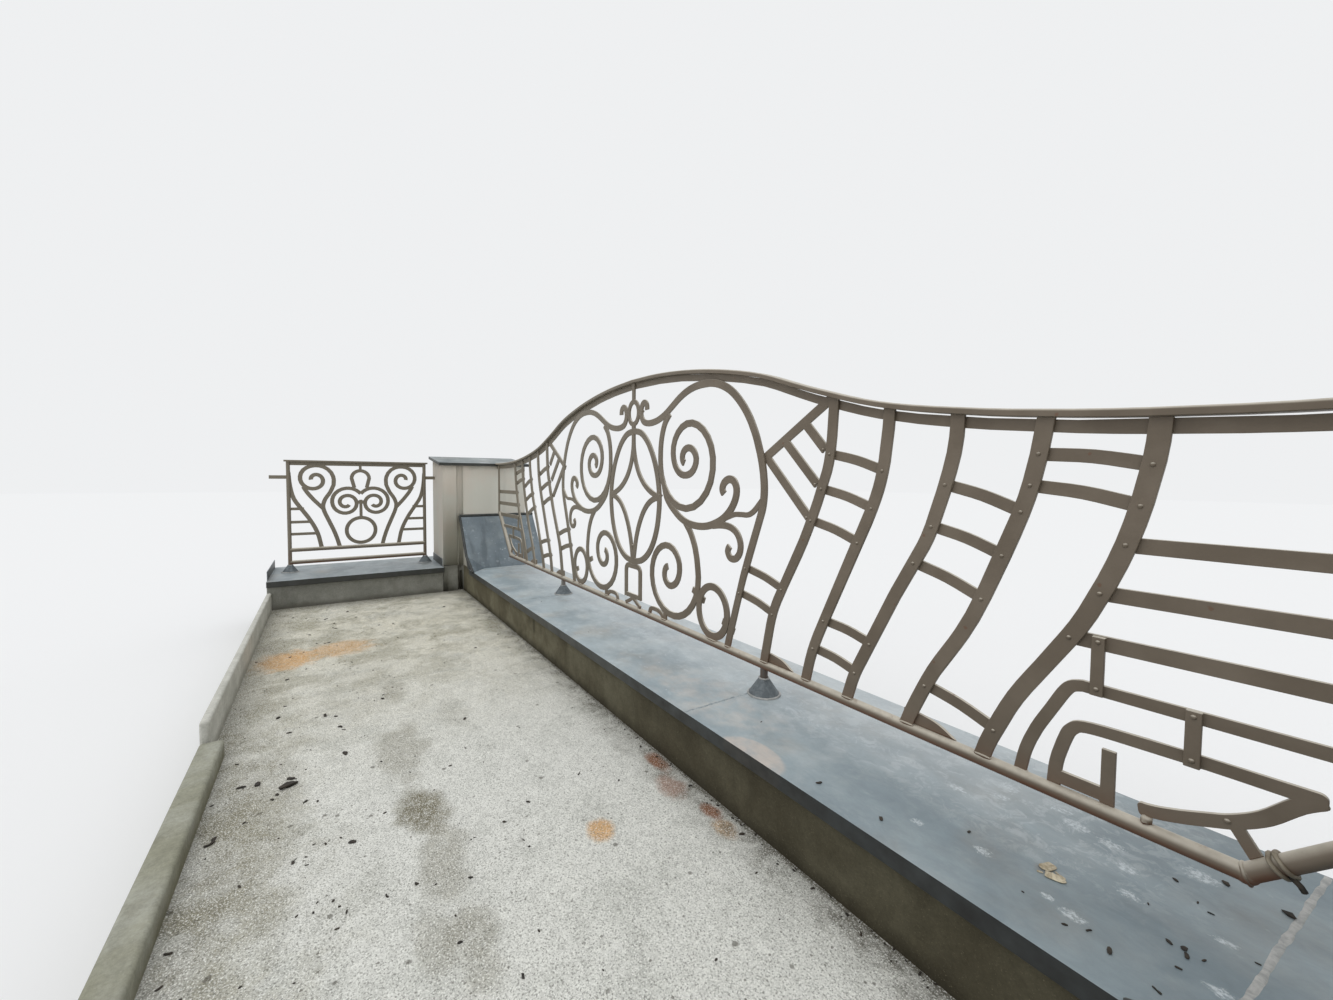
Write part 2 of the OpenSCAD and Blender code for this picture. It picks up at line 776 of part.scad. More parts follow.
floor_slab();
wall_skirting();
door_step();
front_parapet();
far_side_parapet();
near_side_parapet();
far_pier();
near_pier();
far_pier_cap();
near_pier_cap();
front_capping();
far_side_capping();
near_side_capping();
far_slope_flashing();
near_slope_flashing();
handrail();
top_bar();
bottom_tube();
support_legs();
leg_collars();
far_uprights();
near_uprights();
far_rungs();
near_rungs();
far_end_grille();
near_end_grille();
far_brace();
near_brace();
medallion();
centre_loops();
centre_foot();
far_crest_scroll();
near_crest_scroll();
far_upper_spiral();
near_upper_spiral();
far_curl_scroll();
near_curl_scroll();
far_lower_spiral();
near_lower_spiral();
far_side_frame();
near_side_frame();
far_side_scrolls();
near_side_scrolls();
far_post_collars();
near_post_collars();
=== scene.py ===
"""Looks of a roof-level balcony: a waved wrought-iron railing on a low parapet between rendered piers.

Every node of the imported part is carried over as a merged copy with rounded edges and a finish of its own. Rivets,
weld beads, solder seams and rings, folded hems, cement feet, crumbs of dirt and a binding of wire are added as pieces.
Lengths are in metres, in the part's own frame: X along the balcony, -Y the street side, Z up, the origin in the
middle of the underside. A place on the railing is its distance from the middle and its height above the floor. In the
names of values _s is such a distance, _h such a height, _r a radius, _t half the thickness of a rod and _w a width.
"""

import logging
import math
import random
from dataclasses import dataclass
from enum import Enum
from typing import Callable, Sequence

import bmesh
import bpy
from mathutils import Matrix, Vector, noise
from mathutils.bvhtree import BVHTree


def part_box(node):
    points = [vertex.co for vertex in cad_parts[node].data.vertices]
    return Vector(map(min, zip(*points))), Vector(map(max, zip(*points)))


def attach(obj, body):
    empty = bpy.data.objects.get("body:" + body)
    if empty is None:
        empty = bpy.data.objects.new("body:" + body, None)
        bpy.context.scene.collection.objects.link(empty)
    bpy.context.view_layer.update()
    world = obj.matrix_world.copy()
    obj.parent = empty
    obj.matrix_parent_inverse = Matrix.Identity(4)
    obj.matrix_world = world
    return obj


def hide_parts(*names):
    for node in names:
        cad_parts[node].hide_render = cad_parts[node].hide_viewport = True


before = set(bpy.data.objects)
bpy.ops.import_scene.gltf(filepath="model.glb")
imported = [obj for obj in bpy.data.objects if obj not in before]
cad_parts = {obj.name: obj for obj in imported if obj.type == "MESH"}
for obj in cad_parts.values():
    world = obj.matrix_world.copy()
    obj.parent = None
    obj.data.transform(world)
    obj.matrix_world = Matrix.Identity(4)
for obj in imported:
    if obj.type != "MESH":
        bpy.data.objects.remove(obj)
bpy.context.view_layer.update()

log = logging.getLogger("balcony")

Colour = tuple[float, float, float, float]
Point = tuple[float, float, float]
Place = tuple[float, float]
EdgeTest = Callable[[bmesh.types.BMEdge], bool]

BODY = "root"
FLOOR_Z = 0.180
TUBE_H = 0.294
TUBE_R = 0.0135
KNUCKLE_S = 1.828
KNUCKLE_RISE = math.radians(45.6)
BAR_HALF = 0.008
RAIL_Y = -0.595
INNER_FACE_Y = RAIL_Y + BAR_HALF
STREET_FACE_Y = RAIL_Y - BAR_HALF
PARAPET_INNER_Y = -0.333
CAPPING_Z = FLOOR_Z + 0.203
FOLD_INNER_Y = -0.310
FOLD_OUTER_Y = -0.880
MERGE_DISTANCE = 2e-5
SLIVER = 2.5e-4
ROUNDED = math.radians(32)
CREASED = math.radians(50)
STRAY = 0.75
CLOSE = 0.001
ROD_SIDES = 8
UP = Vector((0, 0, 1))


class Slot(Enum):
    """Material slots of the record."""

    IRON = "iron"
    ZINC = "zinc"
    CEMENT = "cement"
    RENDER = "render"
    SCREED = "screed"


class Side(Enum):
    """The two mirrored halves, by the sign of X."""

    FAR = 1
    NEAR = -1

    @property
    def word(self) -> str:
        """First word of the half's piece and node names."""
        return self.name.lower()


def paint(red: float, green: float, blue: float) -> Colour:
    """Linear colour of an sRGB colour given from 0 to 255.

    Args:
        red: Red, from 0 to 255.
        green: Green.
        blue: Blue.

    Returns:
        The linear colour, opaque.
    """

    def linear(value: float) -> float:
        """Linear share of one channel."""
        share = value / 255
        return share / 12.92 if share <= 0.04045 else ((share + 0.055) / 1.055) ** 2.4

    return linear(red), linear(green), linear(blue), 1.0


# Shader maths


class Field:
    """A socket of a node tree. Arithmetic on it adds Math nodes."""

    def __init__(self, wiring: "Wiring", socket: bpy.types.NodeSocket) -> None:
        """Wraps a socket of the wiring's tree."""
        self.wiring = wiring
        self.socket = socket

    def __add__(self, other: "Field | float") -> "Field":
        """Sum."""
        return self.wiring.math("ADD", self, other)

    __radd__ = __add__

    def __sub__(self, other: "Field | float") -> "Field":
        """Difference."""
        return self.wiring.math("SUBTRACT", self, other)

    def __rsub__(self, other: "Field | float") -> "Field":
        """Difference from a number."""
        return self.wiring.math("SUBTRACT", other, self)

    def __mul__(self, other: "Field | float") -> "Field":
        """Product."""
        return self.wiring.math("MULTIPLY", self, other)

    __rmul__ = __mul__

    def least(self, other: "Field | float") -> "Field":
        """The smaller of the two."""
        return self.wiring.math("MINIMUM", self, other)

    def most(self, other: "Field | float") -> "Field":
        """The larger of the two."""
        return self.wiring.math("MAXIMUM", self, other)

    def rise(self, low: float, high: float) -> "Field":
        """Smooth step from 0 at low to 1 at high, or down where low is above high.

        Args:
            low: Where the step is 0.
            high: Where it is 1.

        Returns:
            The step.
        """
        node = self.wiring.node(
            "ShaderNodeMapRange",
            {"interpolation_type": "SMOOTHSTEP"},
            {"Value": self, "From Min": low, "From Max": high},
        )
        return Field(self.wiring, node.outputs["Result"])


class Wiring:
    """The nodes of a material or a world in the making: one method adds every node."""

    def __init__(self, tree: bpy.types.NodeTree) -> None:
        """Starts with an empty tree."""
        self.tree = tree
        self.tree.nodes.clear()

    def node(
        self,
        kind: str,
        settings: dict[str, object] | None = None,
        inputs: "dict[str | int, Field | object] | None" = None,
    ) -> bpy.types.Node:
        """Adds a node.

        Args:
            kind: The node's type.
            settings: Its own settings, set first.
            inputs: Values or links of its sockets, by name or number.

        Returns:
            The node.
        """
        node = self.tree.nodes.new(kind)
        for key, value in (settings or {}).items():
            setattr(node, key, value)
        for key, value in (inputs or {}).items():
            if isinstance(value, Field):
                self.tree.links.new(value.socket, node.inputs[key])
            else:
                node.inputs[key].default_value = value
        return node

    def field(self, node: bpy.types.Node, output: str | int = 0) -> Field:
        """An output of a node."""
        return Field(self, node.outputs[output])

    def math(self, operation: str, a: "Field | float", b: "Field | float") -> Field:
        """Adds a Math node on two values."""
        return self.field(self.node("ShaderNodeMath", {"operation": operation}, {0: a, 1: b}))

    def split(self, vector: Field) -> tuple[Field, Field, Field]:
        """The three parts of a vector."""
        parts = self.node("ShaderNodeSeparateXYZ", None, {0: vector})
        return self.field(parts, 0), self.field(parts, 1), self.field(parts, 2)


class Shader(Wiring):
    """A material in the making, with the object's own coordinates and normal at hand."""

    def __init__(self, name: str) -> None:
        """Starts an empty material.

        Args:
            name: The material's name.
        """
        self.material = bpy.data.materials.new(name)
        self.material.use_nodes = True
        super().__init__(self.material.node_tree)
        self.place = self.field(self.node("ShaderNodeTexCoord"), "Object")
        self.x, self.y, self.z = self.split(self.place)
        normal = self.field(self.node("ShaderNodeNewGeometry"), "Normal")
        self.facing_x, self.facing_y, self.facing_z = self.split(normal)

    def moved(self, shift: Point, turn: float = 0.0, stretch: Point = (1, 1, 1)) -> Field:
        """The object's coordinates shifted, turned about Z and stretched.

        Args:
            shift: Added at the end.
            turn: Angle about Z.
            stretch: Factor of each coordinate.

        Returns:
            The new coordinates.
        """
        node = self.node(
            "ShaderNodeMapping",
            {"vector_type": "POINT"},
            {"Vector": self.place, "Location": shift, "Rotation": (0, 0, turn), "Scale": stretch},
        )
        return self.field(node)

    def noise(
        self,
        scale: float,
        detail: float = 3.0,
        roughness: float = 0.55,
        distortion: float = 0.0,
        place: Field | None = None,
    ) -> Field:
        """Cloudy noise about 0.5.

        Args:
            scale: Clouds to the metre.
            detail: Layers of finer clouds.
            roughness: Strength of those layers.
            distortion: How much the clouds are warped.
            place: Coordinates; the object's own without them.

        Returns:
            The noise, from 0 to 1.
        """
        node = self.node(
            "ShaderNodeTexNoise",
            {"noise_dimensions": "3D"},
            {
                "Vector": place or self.place,
                "Scale": scale,
                "Detail": detail,
                "Roughness": roughness,
                "Distortion": distortion,
            },
        )
        return self.field(node, "Fac")

    def cells(self, scale: float, place: Field | None = None) -> tuple[Field, Field]:
        """Distance to the nearest of scattered points, and a random number for each point.

        Args:
            scale: Points to the metre.
            place: Coordinates; the object's own without them.

        Returns:
            The distance and the random number.
        """
        node = self.node(
            "ShaderNodeTexVoronoi",
            {"voronoi_dimensions": "3D", "feature": "F1"},
            {"Vector": place or self.place, "Scale": scale},
        )
        random_share, _, _ = self.split(self.field(node, "Color"))
        return self.field(node, "Distance"), random_share

    def mix(self, share: "Field | float", a: "Field | Colour", b: "Field | Colour") -> Field:
        """Colour between a and b."""
        return self.field(self.node("ShaderNodeMix", {"data_type": "RGBA"}, {0: share, 6: a, 7: b}), 2)

    def darken(self, colour: Field, share: Field) -> Field:
        """The colour multiplied by a grey of the share's strength.

        Args:
            colour: The colour.
            share: Its factor, which may be above 1.

        Returns:
            The darkened colour.
        """
        grey = self.field(self.node("ShaderNodeCombineColor", None, {0: share, 1: share, 2: share}))
        node = self.node(
            "ShaderNodeMix", {"data_type": "RGBA", "blend_type": "MULTIPLY"}, {0: 1.0, 6: colour, 7: grey}
        )
        return self.field(node, 2)

    def blot(self, centre: Point, radii: Point, ragged: float = 0.35, grain: float = 22.0) -> Field:
        """Mask of a ragged spot: 1 inside an ellipsoid and 0 outside, fading softly.

        Args:
            centre: Middle of the spot.
            radii: Half its size each way.
            ragged: How far its edge wanders.
            grain: How finely it wanders.

        Returns:
            The mask, from 0 to 1.
        """
        shift = tuple(-c / r for c, r in zip(centre, radii))
        near = self.moved(shift, 0.0, tuple(1 / r for r in radii))
        length = self.node("ShaderNodeVectorMath", {"operation": "LENGTH"}, {0: near})
        distance = self.field(length, "Value")
        return (distance + (self.noise(grain, 5.0, 0.62) - 0.5) * (2.4 * ragged)).rise(1.15, 0.45)

    def nearest(self, places: Sequence[Point], level: float, squat: float) -> Field:
        """Distance to the nearest of some spots on a level, in their own radii.

        Args:
            places: X, Y and radius of each spot.
            level: Their height.
            squat: Their width in Y as a share of that in X.

        Returns:
            0 in the middle of a spot and 1 at its edge.
        """
        found = None
        for x, y, radius in places:
            stretch = (1 / radius, 1 / (radius * squat), 1 / radius)
            near = self.moved((-x * stretch[0], -y * stretch[1], -level * stretch[2]), 0.0, stretch)
            distance = self.field(self.node("ShaderNodeVectorMath", {"operation": "LENGTH"}, {0: near}), "Value")
            found = distance if found is None else found.least(distance)
        return found

    def scatter(self, scale: float, share: float, size: float, stretch: Point = (1, 1, 1), shift: float = 0.0) -> Field:
        """Mask of scattered ragged specks.

        Args:
            scale: Cells to the metre.
            share: Share of the cells that hold a speck.
            size: Radius of a speck in cells.
            stretch: Factor of each coordinate.
            shift: Moves the pattern.

        Returns:
            The mask, from 0 to 1.
        """
        distance, random_share = self.cells(scale, self.moved((shift, shift, shift), 0.6, stretch))
        wobble = (self.noise(scale * 2.6, 4.0, 0.65) - 0.5) * (2.2 * size)
        return (distance + wobble).rise(size, size * 0.6) * random_share.rise(share, share - 0.02)

    def bump(self, height: Field, strength: float, distance: float, under: Field | None = None) -> Field:
        """Normal of a surface raised by the height.

        Args:
            height: The height, 1 being the distance.
            strength: Strength, from 0 to 1.
            distance: In metres.
            under: Normal that it is laid over; the surface's own without it.

        Returns:
            The normal.
        """
        inputs: dict[str | int, object] = {"Height": height, "Strength": strength, "Distance": distance}
        if under is not None:
            inputs["Normal"] = under
        return self.field(self.node("ShaderNodeBump", None, inputs))

    def finish(
        self,
        colour: "Field | Colour",
        roughness: "Field | float",
        normal: Field | None = None,
        metallic: float = 0.0,
        specular: float = 0.5,
    ) -> bpy.types.Material:
        """Closes the material with a surface shader.

        Args:
            colour: Base colour.
            roughness: From 0, a mirror, to 1.
            normal: The bumped normal; the surface is smooth without it.
            metallic: Share of bare metal.
            specular: Strength of the gloss.

        Returns:
            The material.
        """
        inputs: dict[str | int, object] = {
            "Base Color": colour,
            "Roughness": roughness,
            "Metallic": metallic,
            "Specular IOR Level": specular,
        }
        if normal is not None:
            inputs["Normal"] = normal
        surface = self.node("ShaderNodeBsdfPrincipled", None, inputs)
        self.node("ShaderNodeOutputMaterial", None, {"Surface": self.field(surface)})
        return self.material


# Finishes


@dataclass(frozen=True)
class PaintedIron:
    """Taupe paint on wrought iron, dusty and with a painted highlight on top, rusty where water stands, partly painted
    shade low underneath.
    """

    name: str = "painted_iron"
    tone: Colour = paint(121, 110, 96)
    shade: Colour = paint(108, 97, 83)
    far: Colour = paint(128, 122, 108)
    dust: Colour = paint(204, 198, 184)
    rust: Colour = paint(112, 74, 53)
    roughness: float = 0.5

    def material(self) -> bpy.types.Material:
        """The paint as a material.

        Returns:
            The material.
        """
        s = Shader(self.name)
        colour = s.mix(s.noise(9.0, 4.0).rise(0.3, 0.7), self.shade, self.tone)
        colour = s.mix(s.x.rise(-0.9, 0.9) * 0.7, colour, self.far)
        brushed = s.noise(60.0, 3.0, 0.6)
        # Up-facing faces lighter: dust, and partly a painted highlight of the sky on the satin paint.
        colour = s.mix(s.facing_z.rise(0.15, 0.8) * (0.45 + brushed * 0.6), colour, self.dust)
        low = s.z.rise(FLOOR_Z + 0.36, FLOOR_Z + 0.30)
        spots = s.noise(34.0, 5.0, 0.65).rise(0.60, 0.72)
        sparse = s.scatter(38.0, 0.10, 0.16)
        # Low down-facing faces, round the tube, take the rust colour: partly rust, partly painted shade under the tube
        # and bars.
        under = s.facing_z.rise(0.3, -0.5) * low * (0.4 + s.noise(14.0, 3.0) * 0.8)
        worn = under.most(sparse * 0.5).most(spots * low * 0.4)
        colour = s.mix(worn, colour, self.rust)
        roughness = self.roughness + (brushed - 0.5) * 0.2 + worn * 0.25
        normal = s.bump(s.noise(150.0, 4.0, 0.6), 0.16, 0.001)
        normal = s.bump(s.noise(24.0, 2.0), 0.18, 0.002, normal)
        return s.finish(colour, roughness, normal, specular=0.4)


@dataclass(frozen=True)
class WeatheredZinc:
    """Clouded blue-grey zinc sheet with whitish bloom, smears of dirt and folded edges dark with dirt and painted
    shade.
    """

    name: str = "side_zinc"
    tone: Colour = paint(146, 156, 160)
    pale: Colour = paint(170, 178, 180)
    deep: Colour = paint(122, 132, 137)
    bloom: Colour = paint(202, 209, 212)
    earth: Colour = paint(158, 150, 138)
    fold: Colour = paint(54, 55, 52)

    def clouded(self, s: Shader) -> Field:
        """The sheet's colour without splashes or folds.

        Args:
            s: The material in the making.

        Returns:
            The colour.
        """
        along = s.moved((0.4, 1.7, 0), 0.25, (0.8, 1.1, 1))
        fine = s.noise(26.0, 4.0, 0.6, 0.2)
        colour = s.mix(s.noise(5.0, 5.0, 0.6, 0.15, along).rise(0.34, 0.66), self.deep, self.tone)
        colour = s.mix(s.noise(8.0, 5.0, 0.62, 0.2).rise(0.44, 0.72) * (0.25 + fine * 0.8), colour, self.pale)
        return s.mix(s.noise(4.2, 5.0, 0.62, 0.2).rise(0.50, 0.74) * (0.1 + fine * 0.7), colour, self.earth)

    def splashed(self, s: Shader) -> Field:
        """Mask of the whitish bloom: smears, and flakes in loose groups.

        Args:
            s: The material in the making.

        Returns:
            The mask, from 0 to 1.
        """
        smears = s.noise(30.0, 4.0, 0.65, 0.3, s.moved((3, 1, 0), 0.5, (0.5, 1.0, 1))).rise(0.60, 0.74)
        groups = s.noise(3.3, 3.0, 0.6).rise(0.46, 0.60)
        crust = s.noise(120.0, 4.0, 0.7).rise(0.40, 0.58)
        flakes = s.scatter(21.0, 0.42, 0.26, (0.8, 1.3, 1)).most(s.scatter(46.0, 0.30, 0.26, shift=2.0))
        return (smears * 0.3).most(flakes * groups * crust * 0.7)

    def marks(self, s: Shader, colour: Field) -> Field:
        """Marks of this one sheet; a plain sheet has none."""
        return colour

    def folded(self, s: Shader) -> "Field | Colour":
        """Colour of the folded edges: dirt and painted shade."""
        return self.fold

    def material(self) -> bpy.types.Material:
        """The zinc as a material.

        Returns:
            The material.
        """
        s = Shader(self.name)
        bloom = self.splashed(s)
        colour = s.mix(bloom, self.clouded(s), self.bloom)
        rippled = s.noise(26.0, 7.0, 0.8, 0.6, s.moved((2, 5, 0), 0.4, (0.6, 1.2, 1))) - 0.5
        colour = s.darken(self.marks(s, colour), 1.0 + rippled * 0.5)
        # Steep faces, the folded edges, take dirt and painted shade; the flat tops keep the sheet's own colour.
        steep = s.facing_z.rise(0.55, 0.2)
        colour = s.mix(steep * (0.86 + s.noise(20.0) * 0.2), colour, self.folded(s))
        wet = s.noise(5.0, 4.0, 0.6, 0.5)
        roughness = 0.58 - wet * 0.2 + bloom * 0.25
        normal = s.bump(s.noise(3.5, 3.0, 0.5), 0.3, 0.01)
        normal = s.bump(s.noise(26.0, 4.0, 0.6), 0.08, 0.002, normal)
        return s.finish(colour, roughness, normal, metallic=0.1, specular=0.45)


@dataclass(frozen=True)
class FrontZinc(WeatheredZinc):
    """The covering of the front parapet: deeper and bluer at the near end, with marks of its own."""

    name: str = "front_zinc"
    tone: Colour = paint(171, 184, 189)
    pale: Colour = paint(192, 200, 201)
    deep: Colour = paint(146, 160, 167)
    near: Colour = paint(104, 118, 125)
    near_fold: Colour = paint(29, 30, 30)
    chalk: Colour = paint(204, 192, 181)
    flake: Colour = paint(205, 213, 217)
    leaf: Colour = paint(112, 98, 80)
    half_disc: Point = (-1.060, -0.310, 0.100)
    flakes: tuple[Point, ...] = (
        (-1.471, -0.699, 0.020), (-1.473, -0.650, 0.016), (-1.563, -0.704, 0.018), (-1.597, -0.673, 0.022),
        (-1.656, -0.664, 0.018), (-1.690, -0.614, 0.016), (-1.534, -0.445, 0.014), (-1.677, -0.415, 0.016),
        (-1.640, -0.425, 0.010), (-1.712, -0.542, 0.016), (-1.765, -0.696, 0.022), (-1.817, -0.548, 0.012),
        (-1.830, -0.435, 0.014), (-1.423, -0.422, 0.012), (-1.408, -0.601, 0.016),
    )

    def marks(self, s: Shader, colour: Field) -> Field:
        """The darker near end, a chalky half-disc, the film behind it, a painted sky sheen and the stain of a leaf.

        Args:
            s: The material in the making.
            colour: The sheet's colour.

        Returns:
            The colour with the marks on it.
        """
        colour = s.mix(s.x.rise(-0.6, -1.7) * (0.25 + s.noise(3.7, 4.0) * 0.6), colour, self.near)
        ripple = s.noise(16.0, 5.0, 0.65)
        edge = s.nearest((self.half_disc,), CAPPING_Z, 0.63) + (s.noise(14.0, 4.0) - 0.5) * 0.16
        colour = s.mix(edge.rise(1.08, 0.92) * (0.3 + ripple.rise(0.3, 0.6) * 0.42), colour, self.chalk)
        film = s.blot((-0.74, -0.43, CAPPING_Z), (0.36, 0.13, 0.06), 0.55, 9.0)
        colour = s.mix(film * ripple.rise(0.35, 0.65) * 0.36, colour, self.chalk)
        # Painted reflection: a pale sheen of the sky at the near end's street side, in the bloom's colour.
        sky = s.y.rise(-0.42, -0.80) * s.x.rise(-1.8, -1.3) * (0.3 + s.noise(8.0, 4.0, 0.6) * 0.6)
        colour = s.mix(sky, colour, self.bloom)
        smear = s.noise(24.0, 6.0, 0.75, 0.8).rise(0.49, 0.60) * s.y.rise(-0.43, -0.60) * s.x.rise(-1.85, -1.6)
        colour = s.mix(smear * 0.38, colour, self.bloom)
        ragged = (s.noise(95.0, 6.0, 0.75, 1.0) - 0.5) * 3.4
        crackle = s.noise(170.0, 4.0, 0.75).rise(0.44, 0.55)
        crust = (s.nearest(self.flakes, CAPPING_Z, 0.7) + ragged).rise(1.25, 0.55)
        colour = s.mix(crust * (0.15 + crackle * 0.65), colour, self.flake)
        stain = s.blot((-1.618, -0.485, CAPPING_Z), (0.024, 0.018, 0.05), 0.45, 60.0)
        return s.mix(stain * 0.35, colour, self.leaf)

    def folded(self, s: Shader) -> Field:
        """Folded edges of dirt and painted shade, darker towards the near end."""
        return s.mix(s.x.rise(0.6, -1.6), self.fold, self.near_fold)


@dataclass(frozen=True)
class SlopeZinc(WeatheredZinc):
    """The sloped covering: darker, with long stains down it."""

    name: str = "slope_zinc"
    tone: Colour = paint(118, 130, 137)
    pale: Colour = paint(136, 146, 150)
    deep: Colour = paint(104, 116, 124)
    earth: Colour = paint(122, 131, 136)
    wet: Colour = paint(74, 84, 90)

    def marks(self, s: Shader, colour: Field) -> Field:
        """Dark stains down the slope."""
        drip = s.noise(7.0, 4.0, 0.6, 0.6, s.moved((0, 0.23, 0), 0, (0.22, 1, 0.22)))
        return s.mix(drip.rise(0.52, 0.66) * 0.6, colour, self.wet)


@dataclass(frozen=True)
class DirtyCement:
    """Rough cement coat: wet and darker at its foot, painted shade under the folds of the zinc, and both at the near
    end.
    """

    name: str = "dirty_cement"
    tone: Colour = paint(94, 89, 72)
    pale: Colour = paint(120, 116, 97)
    damp: Colour = paint(56, 52, 41)
    sand: Colour = paint(150, 142, 120)
    top_h: float = 0.165
    foot_h: float = 0.018
    near_damp: float = 0.55

    def material(self) -> bpy.types.Material:
        """The cement as a material.

        Returns:
            The material.
        """
        s = Shader(self.name)
        cloud = s.noise(5.0, 5.0, 0.6, 0.5)
        grain = s.noise(320.0, 3.0, 0.7)
        colour = s.mix(cloud.rise(0.35, 0.7), self.tone, self.pale)
        # The near end darkens: painted shade from the house wall, and wet cement.
        colour = s.mix(s.x.rise(1.0, -1.1) * self.near_damp, colour, self.damp)
        h = s.z - FLOOR_Z + (s.noise(9.0, 4.0) - 0.5) * 0.06
        stain = h.rise(self.foot_h + 0.03, self.foot_h - 0.02) * 0.8
        # Painted shadow under the overhanging fold of the zinc capping.
        shadow_under_fold = h.rise(self.top_h - 0.03, self.top_h + 0.03) * 0.45
        streak = s.noise(16.0, 3.0, 0.6, 0.3, s.moved((0, 0, 0), 0, (1, 1, 0.18))).rise(0.57, 0.78) * 0.25
        drip = s.blot((0.57, PARAPET_INNER_Y, FLOOR_Z + 0.12), (0.022, 0.05, 0.075), 0.5, 30.0) * 0.55
        colour = s.mix(stain.most(shadow_under_fold).most(streak).most(drip), colour, self.damp)
        colour = s.mix(grain.rise(0.6, 0.75) * 0.4, colour, self.sand)
        mottle = s.noise(120.0, 4.0, 0.8) * 0.75 + s.noise(17.0, 6.0, 0.75) * 0.75
        colour = s.darken(colour, 0.25 + mottle)
        normal = s.bump(grain, 0.5, 0.0015)
        normal = s.bump(s.noise(45.0, 4.0, 0.6), 0.35, 0.004, normal)
        return s.finish(colour, 0.92, normal, specular=0.2)


@dataclass(frozen=True)
class LimeRender:
    """Pale grey lime render, streaked below the cap, greyer at its foot, with painted shade under the cap and by the
    way each face looks.
    """

    tone: Colour = paint(206, 205, 195)
    warm: Colour = paint(208, 199, 187)
    grey: Colour = paint(184, 182, 172)
    soot: Colour = paint(122, 118, 104)

    def material(self) -> bpy.types.Material:
        """The render as a material.

        Returns:
            The material.
        """
        s = Shader("lime_render")
        colour = s.mix(s.noise(2.6, 4.0).rise(0.35, 0.65), self.tone, self.warm)
        streak = s.noise(11.0, 4.0, 0.6, 0.4, s.moved((0, 0, 0), 0, (1, 1, 0.10)))
        colour = s.mix(streak.rise(0.5, 0.78) * 0.55, colour, self.grey)
        foot = (s.z + (s.noise(8.0, 4.0) - 0.5) * 0.14).rise(FLOOR_Z + 0.30, FLOOR_Z + 0.19)
        # Painted shadow under the cap's overhang, in the same colour as the grime at the foot.
        head = (s.z + (s.noise(14.0, 4.0) - 0.5) * 0.10).rise(FLOOR_Z + 0.93, FLOOR_Z + 0.985)
        colour = s.mix((foot * 0.28).most(head * 0.35), colour, self.soot)
        # Painted light and shade by facing: faces looking along X lighter, faces looking along Y darker.
        side_light_and_shade = 0.98 + s.facing_x * s.facing_x * 0.10 - s.facing_y * s.facing_y * 0.12
        colour = s.darken(colour, side_light_and_shade * (0.90 + s.noise(240.0, 3.0, 0.7) * 0.2))
        normal = s.bump(s.noise(260.0, 3.0, 0.7), 0.3, 0.001)
        normal = s.bump(s.noise(18.0, 3.0), 0.2, 0.004, normal)
        return s.finish(colour, 0.9, normal, specular=0.25)


